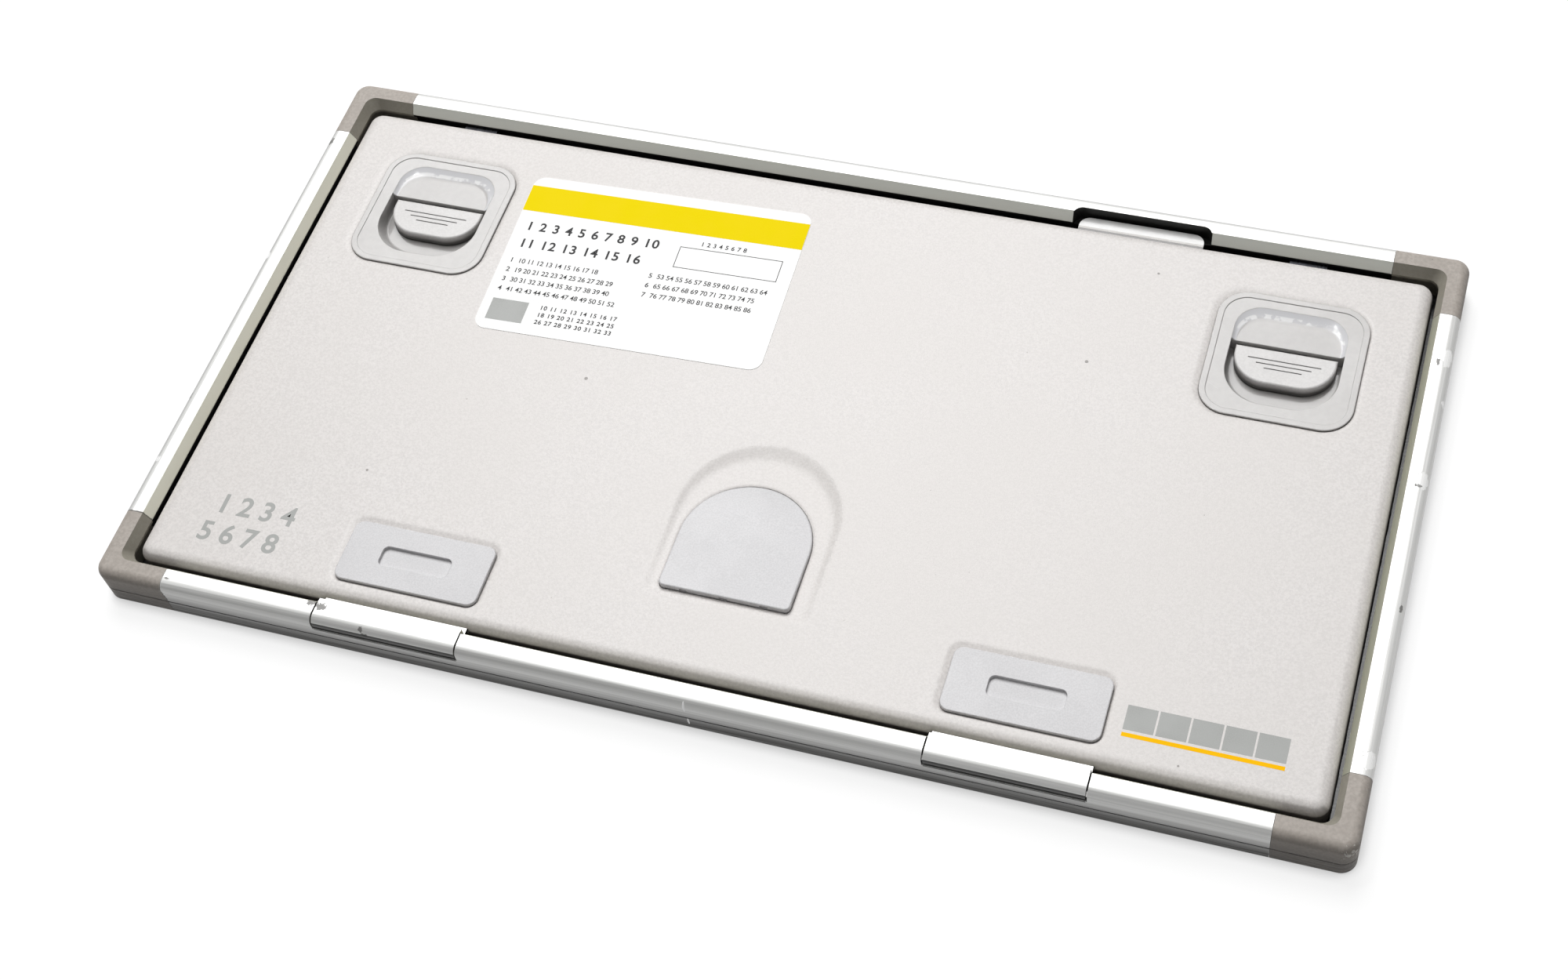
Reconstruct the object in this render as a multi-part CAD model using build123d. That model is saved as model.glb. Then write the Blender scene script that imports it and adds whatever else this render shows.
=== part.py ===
from build123d import *
import os
from math import cos, radians, sin

# X-ray film cassette for 15 x 30 cm sheet film: an aluminium frame with plastic corners round a thin
# radiolucent front panel, and a hinged lid with two sliding latches and a sprung pressure pad.
#
# Millimetres. +Z is up. The cassette lies on its front (tube side), lid upwards. The origin is the centre
# of the underside, X runs along the long side, the hinges are on the -Y side and the latches on the +Y side.
# Most frame sizes are given as an inset: the distance inwards from the frame's outer wall.

os.makedirs("parts", exist_ok=True)

# ---------------------------------------------------------------- film
FILM_LENGTH = 300.0
FILM_WIDTH = 150.0
FILM_SPACE = 0.3              # left between the two screens for the film

# ---------------------------------------------------------------- frame
RAIL_TOP_WIDTH = 5.4          # flat top of the rail, up to its inner edge
NOSE_RADIUS = 2.5             # round edge between the rail's top and its outer wall
FOOT_RADIUS = 0.5
LIP_INSET = 7.0               # tip of the lip that the latch bolts catch under
LIP_DROP = 3.0                # from the rail's top down to the tip of the lip
LIP_THICKNESS = 0.8
WEB_INSET = 5.8               # inner face of the rail's web
WEB_THICKNESS = 1.4
RAIL_WALL = 1.6
FLANGE_INSET = 9.0            # edge of the flange that carries the front panel
FLANGE_THICKNESS = 0.9
CHAMBER_FLOOR = 0.4           # the rail's hollow starts this far above its flange
CHAMBER_ROOF = 0.8            # left between the hollow and the thumb notch
GROOVE_HEIGHT = 4.85          # lower edge of the decorative groove round the frame
GROOVE_WIDTH = 0.35
GROOVE_DEPTH = 0.4

CORNER_ARM = 19.65
CORNER_RADIUS = 4.0
CORNER_INNER_RADIUS = 3.0
CORNER_SEAM = 0.08            # gap between a corner block and the end of a rail
TONGUE_LENGTH = 14.0
TONGUE_CLEARANCE = 0.08

NOTCH_FROM_LATCH = 45.6       # thumb notch in the back rail, from the right latch's centre line
NOTCH_LENGTH = 38.2
NOTCH_INSET = 3.7
NOTCH_RADIUS = 2.6
NOTCH_FLOOR_DROP = 5.0

# ---------------------------------------------------------------- front panel, screens, pressure pad
PANEL_THICKNESS = 1.4
PANEL_CLEARANCE = 0.1
SCREEN_THICKNESS = 0.4
LEAD_THICKNESS = 0.2
FOAM_THICKNESS = 1.6
PLATE_THICKNESS = 0.7
PAD_GAP = 2.0                 # from the pressure pad's back edge to the lid's wall
SEAL_THICKNESS = 1.6
SEAL_CLEARANCE = 0.3          # between the seal and the bottom of the lid's flank
SEAL_SETBACK = 1.9            # from the rail's web to the seal
SEAL_TO_FILM = 1.4

# ---------------------------------------------------------------- lid
LATCH_SPACE = 3.55            # from the pressure plate to the inside of the lid's skin
LID_DROP = 1.45               # lid's top lies this far below the rails' top
LID_SKIN = 1.6
LID_WALL = 1.8
LID_SIDE_GAP = 1.0            # from the rail's lip to the lid
LID_BACK_GAP = 1.7
LID_FRONT_GAP = 1.2
LID_CORNER_RADIUS = 4.0
LID_ROLL_RADIUS = 3.2
TRIM_RECESS = 0.6             # bezels and hinge covers are let into the lid's skin by this much
TRIM_CLEARANCE = 0.1
TRIM_DIP_REACH = 1.2          # width of the dip in the lid's skin round a bezel or hinge cover
TRIM_DIP_SHIFT = 0.5          # the dip is wider behind the trim and on its left

LABEL_LENGTH = 82.5
LABEL_WIDTH = 54.6
LABEL_RADIUS = 3.5
LABEL_THICKNESS = 0.12
LABEL_FROM_END = 100.1        # label's centre, from the lid's left edge
LABEL_FROM_BACK = 40.6
LABEL_TURN = 1.7              # degrees; it was stuck on slightly askew

# ---------------------------------------------------------------- hinges
HINGE_CENTRE = 80.1           # distance of each hinge from the middle
KNUCKLE_LENGTH = 39.2
KNUCKLE_END_GAP = 0.4
KNUCKLE_SETBACK = 0.2         # from the tip of the rail's lip to the knuckle's inner face
KNUCKLE_STEP_WIDTH = 0.8      # small step along the knuckle's inner top edge
KNUCKLE_STEP = 0.2
PIN_RADIUS = 0.75
BARREL_WALL = 0.55
PIN_CLEARANCE = 0.03
PIN_ENGAGEMENT = 9.0          # length of pin in the rail at each end of a knuckle
BARREL_CLEARANCE = 0.25
LEAF_THICKNESS = 1.05
LEAF_BEYOND_RIVETS = 6.9
LEAF_CLEARANCE = 0.5
LEAF_SLOT_GAP = 0.25          # round the leaf, in its slot through the lid's flank
RIVET_FROM_END = 7.6          # from the end of the knuckle to a rivet
HINGE_RIVET_RADIUS = 1.25
HINGE_RIVET_HEAD = 2.2
HINGE_RIVET_HEAD_HEIGHT = 0.5
RIVET_CLEARANCE = 0.05

COVER_LENGTH = 39.4
COVER_WIDTH = 17.6
COVER_INSET = 22.6            # from the frame's outer wall to the middle of the cover
COVER_PROUD = 0.7
COVER_RADIUS = 2.6
COVER_DIP = 0.5
COVER_SLOT_LENGTH = 19.2
COVER_SLOT_WIDTH = 5.8
COVER_SLOT_RADIUS = 1.6
COVER_SLOT_DEPTH = 0.95

# ---------------------------------------------------------------- latches
BEZEL_SIZE = 39.9
BEZEL_MARGIN = 13.6           # from the lid's back and end edges
BEZEL_RADIUS = 8.0
BEZEL_PROUD = 0.35
BEZEL_DIP = 0.3
BEZEL_RIM = 1.7
BEZEL_RIM_STEP = 0.15
HOUSING_WALL = 2.0
HOUSING_RADIUS = 5.0
HOUSING_CLEARANCE = 0.15
HOUSING_FLOOR = 0.7
POCKET_SIDE_MARGIN = 5.2      # from the bezel's edges to the pocket and the scoop
POCKET_FRONT_MARGIN = 4.7
POCKET_RADIUS = 11.0
POCKET_RAMP = 3.0             # the pocket's front wall leans by this much
POCKET_FILLET = 0.8
SCOOP_BACK_MARGIN = 4.2
SCOOP_LENGTH = 11.4
SCOOP_RADIUS = 7.0
SCOOP_DEPTH = 1.0
SCOOP_BACK_SLOPE = 3.8        # width of the scoop's hollowed back wall
SCOOP_SIDE_SLOPE = 1.3
SCOOP_PROFILE = ((0, 0), (0.3, 0.46), (0.65, 0.85), (1, 1))    # shares of the slope's width and depth

BUTTON_SIDE_GAP = 1.45
BUTTON_BACK_GAP = 0.6
BUTTON_LENGTH = 10.9          # leaves room for a fingertip in front of it when it is drawn back by 3
BUTTON_RADIUS = 9.0
BUTTON_FLARE = 0.5            # button's foot reaches this far in front of its top
BUTTON_DROP = 1.5             # button's top below the bezel's face
BUTTON_FLOOR_GAP = 0.1
BUTTON_EDGE_RADIUS = 0.6
GRIP_LINE_LENGTHS = (19.0, 14.4, 9.8)
GRIP_LINE_PITCH = 1.4
GRIP_LINE_WIDTH = 0.26
GRIP_LINE_DEPTH = 0.2
GRIP_LINE_BACK = 3.5          # from the button's back edge to the longest line

BOLT_WIDTH = 10.0
BOLT_THICKNESS = 1.0
BOLT_CLEARANCE = 0.3          # round the bolt, in its tunnel, slot and under the rail's lip
BOLT_CATCH = 1.0              # how far the bolt reaches under the lip
BOLT_SEAT_LENGTH = 8.0        # length of bolt held in the button
BOLT_BEVEL = 0.6
SPRING_TAB_THICKNESS = 1.0
SPRING_TAB_WIDTH = 6.5
SPRING_LENGTH = 10.4
SPRING_RADIUS = 1.1
SPRING_WIRE = 0.36
SPRING_TURNS = 7

# ---------------------------------------------------------------- lift tab, centre cap, fixings
TAB_LENGTH = 34.5
TAB_ROOT = 7.0                # length of tab bonded under the lid
TAB_THICKNESS = 1.15
TAB_CLEARANCE = 0.8           # between the tab and the notch
TAB_RADIUS = 3.0
TAB_SLOT_CLEARANCE = 0.2

CAP_CENTRE = 0.45
CAP_WIDTH = 34.7
CAP_FRONT_MARGIN = 22.5       # from the lid's front edge
CAP_STRAIGHT = 16.95          # length of the cap's straight sides
CAP_CLEARANCE = 0.15
CAP_FLOOR = 0.5               # lid skin left under the cap
CAP_FRONT_RISE = 1.2          # cap's front edge above the lid
CAP_BACK_DROP = 0.5           # cap's back edge below the lid
CAP_EDGE_RADIUS = 0.4
CAP_CORNER_RADIUS = 1.5
CAP_CATCH_WIDTH = 2.2
CAP_CATCH_DEPTH = 0.45
CAP_CATCH_HEIGHT = 0.5
CAP_CATCH_SPACING = 10.6
DISH_CENTRE = 1.2
DISH_SIDE = 5.15              # from the cap's side to the dish's edge
DISH_LENGTH = 14.0            # behind the cap
DISH_SIDE_SLOPE = 3.1
DISH_BACK_SLOPE = 6.5
DISH_DEPTH = 0.8
DISH_FRONT_DEPTH = 0.3        # dish's depth at the cap's front edge
DISH_FRONT_RAMP = 2.5
DISH_PROFILE = ((0, 0), (0.3, 0.13), (0.7, 0.87), (1, 1))    # shares of the slope's width and depth

SCREW_RADIUS = 1.0
SCREW_HEAD_RADIUS = 1.9
SCREW_BOSS_RADIUS = 3.0
SCREW_CLEARANCE = 0.05
SCREW_TIP_GAP = 0.4
SCREW_MARGIN = 9.0            # from the pressure plate's edges
SCREW_FROM_HINGE = 13.5       # from a knuckle's inner end to the inner screws
CENTRE_SCREW_RADIUS = 1.5
CENTRE_SCREW_HEAD = 3.0
CENTRE_SCREW_HEAD_HEIGHT = 0.55
CENTRE_BOSS_RADIUS = 4.6

# ---------------------------------------------------------------- worked-out places
FILM_BORDER = LIP_INSET + LID_BACK_GAP + LID_WALL + PAD_GAP
FRAME_LENGTH = FILM_LENGTH + 2 * FILM_BORDER
FRAME_WIDTH = FILM_WIDTH + 2 * FILM_BORDER
HALF_LENGTH = FRAME_LENGTH / 2
HALF_WIDTH = FRAME_WIDTH / 2

PANEL_TOP = FLANGE_THICKNESS + PANEL_THICKNESS
FRONT_SCREEN_TOP = PANEL_TOP + SCREEN_THICKNESS
REAR_SCREEN_BOTTOM = FRONT_SCREEN_TOP + FILM_SPACE
LEAD_BOTTOM = REAR_SCREEN_BOTTOM + SCREEN_THICKNESS
FOAM_BOTTOM = LEAD_BOTTOM + LEAD_THICKNESS
PLATE_BOTTOM = FOAM_BOTTOM + FOAM_THICKNESS
PLATE_TOP = PLATE_BOTTOM + PLATE_THICKNESS
SEAL_INSET = WEB_INSET + SEAL_SETBACK
SEAL_WIDTH = FILM_BORDER - SEAL_INSET - SEAL_TO_FILM

LID_INSIDE = PLATE_TOP + LATCH_SPACE
LID_TOP = LID_INSIDE + LID_SKIN
LID_BOTTOM = PANEL_TOP + SEAL_THICKNESS + SEAL_CLEARANCE
LID_RIGHT = HALF_LENGTH - LIP_INSET - LID_SIDE_GAP
LID_BACK = HALF_WIDTH - LIP_INSET - LID_BACK_GAP
LID_FRONT = -(HALF_WIDTH - LIP_INSET - LID_FRONT_GAP)
TRIM_SEAT = LID_TOP - TRIM_RECESS

FRAME_HEIGHT = LID_TOP + LID_DROP
RAIL_END_X = HALF_LENGTH - CORNER_ARM - CORNER_SEAM
RAIL_END_Y = HALF_WIDTH - CORNER_ARM - CORNER_SEAM
LIP_TOP = FRAME_HEIGHT - LIP_DROP
LIP_BOTTOM = LIP_TOP - LIP_THICKNESS
CHAMBER_INNER = WEB_INSET - WEB_THICKNESS
CHAMBER_BOTTOM = FLANGE_THICKNESS + CHAMBER_FLOOR
CHAMBER_TOP = FRAME_HEIGHT - NOTCH_FLOOR_DROP - CHAMBER_ROOF

BARREL_RADIUS = PIN_RADIUS + BARREL_WALL
LEAF_BOTTOM = LID_INSIDE - LEAF_THICKNESS
LEAF_INSET = COVER_INSET + LEAF_BEYOND_RIVETS
AXIS_INSET = BARREL_RADIUS
AXIS_Y = -HALF_WIDTH + AXIS_INSET
AXIS_Z = LEAF_BOTTOM + BARREL_RADIUS
SLOT_FLOOR = AXIS_Z - BARREL_RADIUS - BARREL_CLEARANCE
KNUCKLE_INSET = LIP_INSET - KNUCKLE_SETBACK
KNUCKLE_STEP_INSET = KNUCKLE_INSET - KNUCKLE_STEP_WIDTH
COVER_CENTRE_Y = -HALF_WIDTH + COVER_INSET

LATCH_CENTRE = LID_RIGHT - BEZEL_MARGIN - BEZEL_SIZE / 2
BEZEL_CENTRE_Y = LID_BACK - BEZEL_MARGIN - BEZEL_SIZE / 2
BEZEL_TOP = LID_TOP + BEZEL_PROUD
BEZEL_FACE = BEZEL_TOP - BEZEL_RIM_STEP
POCKET_FLOOR = PLATE_TOP + HOUSING_FLOOR
POCKET_WIDTH = BEZEL_SIZE - 2 * POCKET_SIDE_MARGIN
POCKET_FRONT_Y = BEZEL_CENTRE_Y - BEZEL_SIZE / 2 + POCKET_FRONT_MARGIN
SCOOP_BACK_Y = BEZEL_CENTRE_Y + BEZEL_SIZE / 2 - SCOOP_BACK_MARGIN
POCKET_BACK_Y = SCOOP_BACK_Y - SCOOP_LENGTH
HOUSING_WIDTH = POCKET_WIDTH + 2 * HOUSING_WALL
HOUSING_FRONT = POCKET_FRONT_Y - HOUSING_WALL
HOUSING_BACK = SCOOP_BACK_Y + HOUSING_WALL
HOUSING_CENTRE_Y = (HOUSING_FRONT + HOUSING_BACK) / 2
HOUSING_LENGTH = HOUSING_BACK - HOUSING_FRONT
BUTTON_WIDTH = POCKET_WIDTH - 2 * BUTTON_SIDE_GAP
BUTTON_BACK = POCKET_BACK_Y - BUTTON_BACK_GAP
BUTTON_FRONT = BUTTON_BACK - BUTTON_LENGTH
BUTTON_TOP = BEZEL_FACE - BUTTON_DROP
BOLT_TOP = LIP_BOTTOM - BOLT_CLEARANCE
BOLT_BOTTOM = BOLT_TOP - BOLT_THICKNESS
BOLT_TIP = HALF_WIDTH - LIP_INSET + BOLT_CATCH
BOLT_ROOT = BUTTON_BACK - BOLT_SEAT_LENGTH
SPRING_X = BOLT_WIDTH / 2 + SPRING_TAB_WIDTH / 2
SPRING_TAB_Y = HOUSING_BACK + SPRING_LENGTH

NOTCH_CENTRE = LATCH_CENTRE - NOTCH_FROM_LATCH
TAB_TIP = HALF_WIDTH - NOTCH_INSET - TAB_CLEARANCE
LABEL_CENTRE = (-LID_RIGHT + LABEL_FROM_END, LID_BACK - LABEL_FROM_BACK)
CAP_SEAT = LID_INSIDE + CAP_FLOOR
CAP_FRONT_Y = LID_FRONT + CAP_FRONT_MARGIN
CAP_ARC_Y = CAP_FRONT_Y + CAP_STRAIGHT
CAP_BACK_Y = CAP_ARC_Y + CAP_WIDTH / 2
DISH_BACK_Y = CAP_BACK_Y + DISH_LENGTH
DISH_WIDTH = CAP_WIDTH + 2 * DISH_SIDE
SCREW_X = (FILM_LENGTH / 2 - SCREW_MARGIN, HINGE_CENTRE - KNUCKLE_LENGTH / 2 - SCREW_FROM_HINGE)
SCREW_Y = FILM_WIDTH / 2 - SCREW_MARGIN
SCREW_PLACES = [(side * x, end * SCREW_Y) for end in (-1, 1) for side in (-1, 1) for x in SCREW_X]
SIDES = (("left", -1), ("right", 1))


# ---------------------------------------------------------------- helpers
def block(x0, x1, y0, y1, z0, z1):
    """Box between two corners."""
    centre = Location(((x0 + x1) / 2, (y0 + y1) / 2, (z0 + z1) / 2))
    return centre * Box(x1 - x0, y1 - y0, z1 - z0)


def disc(x, y, radius, z0, z1):
    """Upright cylinder from z0 to z1."""
    return Location((x, y, (z0 + z1) / 2)) * Cylinder(radius, z1 - z0)


def rounded_block(x, y, length, width, radius, z0, z1):
    """Upright prism on a rectangle with rounded corners, centred on x, y."""
    return Location((x, y, z0)) * extrude(RectangleRounded(length, width, radius), z1 - z0)


def window(inset0, inset1, z0, z1):
    """Rectangle in an inset-height section."""
    return Location(((inset0 + inset1) / 2, (z0 + z1) / 2)) * Rectangle(inset1 - inset0, z1 - z0)


def rod_along_x(x0, x1, y, z, radius):
    """Cylinder parallel to the X axis."""
    return Location(((x0 + x1) / 2, y, z), (0, 90, 0)) * Cylinder(radius, x1 - x0)


def save(name, shape):
    shape.label = name
    export_step(shape, f"parts/{name}.step")


# ---------------------------------------------------------------- rails and corner blocks
def nose_outline(lower):
    """Outer wall and rounded top edge of a rail, from the inset-height point (0, lower) up to the top."""
    wall = Line((0, lower), (0, FRAME_HEIGHT - NOSE_RADIUS))
    nose = CenterArc((NOSE_RADIUS, FRAME_HEIGHT - NOSE_RADIUS), NOSE_RADIUS, 180, -90)
    return wall + nose


def rail_section():
    """Cross-section of the rail extrusion, drawn as inset against height."""
    inside = Polyline((NOSE_RADIUS, FRAME_HEIGHT), (RAIL_TOP_WIDTH, FRAME_HEIGHT), (LIP_INSET, LIP_TOP),
                      (LIP_INSET, LIP_BOTTOM), (WEB_INSET, LIP_BOTTOM), (WEB_INSET, FLANGE_THICKNESS),
                      (FLANGE_INSET, FLANGE_THICKNESS), (FLANGE_INSET, 0), (FOOT_RADIUS, 0))
    foot = CenterArc((FOOT_RADIUS, FOOT_RADIUS), FOOT_RADIUS, 270, -90)
    outline = make_face(nose_outline(FOOT_RADIUS) + inside + foot)
    return (outline - window(RAIL_WALL, CHAMBER_INNER, CHAMBER_BOTTOM, CHAMBER_TOP)
            - window(-GROOVE_DEPTH, GROOVE_DEPTH, GROOVE_HEIGHT, GROOVE_HEIGHT + GROOVE_WIDTH))


def along_x(section, x0, x1, outer_y):
    """Extrude an inset-height section along X on the side whose outer wall is at -outer_y."""
    plane = Plane(origin=(x0, -outer_y, 0), x_dir=(0, 1, 0), z_dir=(1, 0, 0))
    return extrude(plane * section, x1 - x0)


def knuckle_span(side):
    centre = side * HINGE_CENTRE
    return centre - KNUCKLE_LENGTH / 2, centre + KNUCKLE_LENGTH / 2


def front_rail():
    rail = along_x(rail_section(), -RAIL_END_X, RAIL_END_X, HALF_WIDTH)
    wall = -HALF_WIDTH
    for _, side in SIDES:
        low, high = knuckle_span(side)
        low -= KNUCKLE_END_GAP
        high += KNUCKLE_END_GAP
        rail -= block(low, high, wall - 1, wall + RAIL_WALL, SLOT_FLOOR, FRAME_HEIGHT + 1)
        rail -= block(low, high, wall + RAIL_WALL - 0.1, wall + FLANGE_INSET,
                      LEAF_BOTTOM - LEAF_CLEARANCE, FRAME_HEIGHT + 1)
    return rail - rod_along_x(-RAIL_END_X, RAIL_END_X, AXIS_Y, AXIS_Z, PIN_RADIUS + PIN_CLEARANCE)


def back_rail():
    rail = Rot(0, 0, 180) * along_x(rail_section(), -RAIL_END_X, RAIL_END_X, HALF_WIDTH)
    depth = FLANGE_INSET
    notch = rounded_block(NOTCH_CENTRE, HALF_WIDTH - NOTCH_INSET - depth / 2, NOTCH_LENGTH, depth,
                          NOTCH_RADIUS, FRAME_HEIGHT - NOTCH_FLOOR_DROP, FRAME_HEIGHT + 1)
    return rail - notch


def side_rail(side):
    rail = along_x(rail_section(), -RAIL_END_Y, RAIL_END_Y, HALF_LENGTH)
    return Rot(0, 0, 90 * side) * rail


def corner_plan(inset, radius):
    """Plan of everything further in than inset, at the front left corner."""
    reach = CORNER_ARM + FLANGE_INSET
    size = reach - inset
    outline = Rectangle(size, size, align=(Align.MIN, Align.MIN))
    nearest = outline.vertices().group_by(Axis.X)[0].sort_by(Axis.Y)[0]
    return Location((-HALF_LENGTH + inset, -HALF_WIDTH + inset)) * fillet(nearest, radius)


def corner_slab(inset, radius, z0, z1):
    return Location((0, 0, z0)) * extrude(corner_plan(inset, radius), z1 - z0)


def corner_block():
    """Front left corner: the rail's profile carried round the corner, with a tongue for each rail."""
    solid = corner_slab(0, CORNER_RADIUS, 0, FRAME_HEIGHT)
    solid = fillet(solid.faces().sort_by(Axis.Z)[-1].edges(), NOSE_RADIUS)
    solid = fillet(solid.faces().sort_by(Axis.Z)[0].edges(), FOOT_RADIUS)
    inner = CORNER_INNER_RADIUS
    solid -= corner_slab(FLANGE_INSET, inner, -1, FLANGE_THICKNESS)
    solid -= corner_slab(WEB_INSET, inner, FLANGE_THICKNESS, LIP_BOTTOM)
    solid -= corner_slab(LIP_INSET, inner, LIP_BOTTOM, LIP_TOP)
    solid -= loft([Location((0, 0, LIP_TOP)) * corner_plan(LIP_INSET, inner),
                   Location((0, 0, FRAME_HEIGHT)) * corner_plan(RAIL_TOP_WIDTH, inner)])
    groove = (corner_slab(-1, CORNER_RADIUS, GROOVE_HEIGHT, GROOVE_HEIGHT + GROOVE_WIDTH)
              - corner_slab(GROOVE_DEPTH, CORNER_RADIUS - GROOVE_DEPTH, 0, FRAME_HEIGHT))
    solid -= groove
    x_end = -HALF_LENGTH + CORNER_ARM
    y_end = -HALF_WIDTH + CORNER_ARM
    solid = solid & block(-HALF_LENGTH - 1, x_end, -HALF_WIDTH - 1, y_end, -1, FRAME_HEIGHT + 1)
    low = RAIL_WALL + TONGUE_CLEARANCE
    high = CHAMBER_INNER - TONGUE_CLEARANCE
    z0 = CHAMBER_BOTTOM + TONGUE_CLEARANCE
    z1 = CHAMBER_TOP - TONGUE_CLEARANCE
    solid += block(x_end - 1, x_end + TONGUE_LENGTH, -HALF_WIDTH + low, -HALF_WIDTH + high, z0, z1)
    solid += block(-HALF_LENGTH + low, -HALF_LENGTH + high, y_end - 1, y_end + TONGUE_LENGTH, z0, z1)
    return solid


# ---------------------------------------------------------------- front panel, screens and seals
def front_panel():
    edge = 2 * (WEB_INSET + PANEL_CLEARANCE)
    return rounded_block(0, 0, FRAME_LENGTH - edge, FRAME_WIDTH - edge, CORNER_INNER_RADIUS,
                         FLANGE_THICKNESS, PANEL_TOP)


def film_sized(bottom, thickness):
    return rounded_block(0, 0, FILM_LENGTH, FILM_WIDTH, 2.0, bottom, bottom + thickness)


def seal_strips():
    """Plush light seal round the front panel: two long strips and two short ones between them."""
    outer_x = HALF_LENGTH - SEAL_INSET
    outer_y = HALF_WIDTH - SEAL_INSET
    inner_y = outer_y - SEAL_WIDTH
    top = PANEL_TOP + SEAL_THICKNESS
    strips = {
        "front": block(-outer_x, outer_x, -outer_y, -inner_y, PANEL_TOP, top),
        "back": block(-outer_x, outer_x, inner_y, outer_y, PANEL_TOP, top),
        "left": block(-outer_x, -outer_x + SEAL_WIDTH, -inner_y, inner_y, PANEL_TOP, top),
        "right": block(outer_x - SEAL_WIDTH, outer_x, -inner_y, inner_y, PANEL_TOP, top),
    }
    return strips


# ---------------------------------------------------------------- hinges
def hinge_knuckle(side):
    """Knuckle with its leaf: it carries on the rail's outline and turns with the lid."""
    top = FRAME_HEIGHT
    step = top - KNUCKLE_STEP
    inside = Polyline((NOSE_RADIUS, top), (KNUCKLE_STEP_INSET, top), (KNUCKLE_STEP_INSET, step),
                      (KNUCKLE_INSET, step), (KNUCKLE_INSET, 0), (0, 0))
    section = make_face(nose_outline(0) + inside)
    section -= window(-1, AXIS_INSET, -1, AXIS_Z)
    section -= window(-1, KNUCKLE_INSET + 1, -1, LEAF_BOTTOM)
    section += Location((AXIS_INSET, AXIS_Z)) * Circle(BARREL_RADIUS)
    section += window(AXIS_INSET, LEAF_INSET, LEAF_BOTTOM, LID_INSIDE)
    section -= Location((AXIS_INSET, AXIS_Z)) * Circle(PIN_RADIUS + PIN_CLEARANCE)
    low, high = knuckle_span(side)
    knuckle = along_x(section, low, high, HALF_WIDTH)
    for x, y in rivet_places(side):
        knuckle -= disc(x, y, HINGE_RIVET_RADIUS + RIVET_CLEARANCE, LEAF_BOTTOM - 1, LID_INSIDE + 1)
    return knuckle


def hinge_pin(side):
    low, high = knuckle_span(side)
    return rod_along_x(low - PIN_ENGAGEMENT, high + PIN_ENGAGEMENT, AXIS_Y, AXIS_Z, PIN_RADIUS)


def rivet_places(side):
    low, high = knuckle_span(side)
    return (low + RIVET_FROM_END, COVER_CENTRE_Y), (high - RIVET_FROM_END, COVER_CENTRE_Y)


def rivet(x, y, radius_extra=0.0):
    """Rivet through the lid's skin and the leaf; its flush head is under the hinge cover."""
    head_bottom = TRIM_SEAT - HINGE_RIVET_HEAD_HEIGHT
    solid = disc(x, y, HINGE_RIVET_HEAD + radius_extra, head_bottom, TRIM_SEAT)
    return solid + disc(x, y, HINGE_RIVET_RADIUS + radius_extra, LEAF_BOTTOM, head_bottom)


def hinge_rivets():
    rivets = []
    for _, side in SIDES:
        for x, y in rivet_places(side):
            tail = disc(x, y, HINGE_RIVET_HEAD, LEAF_BOTTOM - HINGE_RIVET_HEAD_HEIGHT, LEAF_BOTTOM)
            rivets.append((rivet(x, y) + tail).solid())
    return Compound(children=rivets)


def hinge_cover(side):
    x = side * HINGE_CENTRE
    top = LID_TOP + COVER_PROUD
    cover = rounded_block(x, COVER_CENTRE_Y, COVER_LENGTH, COVER_WIDTH, COVER_RADIUS, TRIM_SEAT, top)
    cover = fillet(cover.faces().sort_by(Axis.Z)[-1].edges(), COVER_PROUD / 3)
    return cover - rounded_block(x, COVER_CENTRE_Y, COVER_SLOT_LENGTH, COVER_SLOT_WIDTH, COVER_SLOT_RADIUS,
                                 top - COVER_SLOT_DEPTH, top + 1)


# ---------------------------------------------------------------- latches, drawn round X = 0
def d_outline(width, front, back, radius, z, round_end=0):
    """Rectangle at height z with its front corners rounded, or the back ones with round_end -1."""
    outline = Location((0, (front + back) / 2)) * Rectangle(width, back - front)
    return Location((0, 0, z)) * fillet(outline.vertices().group_by(Axis.Y)[round_end], radius)


def pocket_cut():
    """Well that the button slides in, with a leaning front wall for the finger."""
    mouth = d_outline(POCKET_WIDTH, POCKET_FRONT_Y, POCKET_BACK_Y, POCKET_RADIUS, BEZEL_TOP)
    foot = d_outline(POCKET_WIDTH, POCKET_FRONT_Y + POCKET_RAMP, POCKET_BACK_Y, POCKET_RADIUS, POCKET_FLOOR)
    cut = loft([foot, mouth])
    return fillet(cut.faces().sort_by(Axis.Z)[0].edges().sort_by(Axis.Y)[:-1], POCKET_FILLET)


def scoop_cut():
    """Finger scoop behind the button, open towards the pocket."""
    return loft([d_outline(POCKET_WIDTH - 2 * way * SCOOP_SIDE_SLOPE, POCKET_BACK_Y - 1,
                           SCOOP_BACK_Y - way * SCOOP_BACK_SLOPE, SCOOP_RADIUS,
                           BEZEL_FACE - fall * SCOOP_DEPTH, -1) for way, fall in SCOOP_PROFILE])


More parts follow.
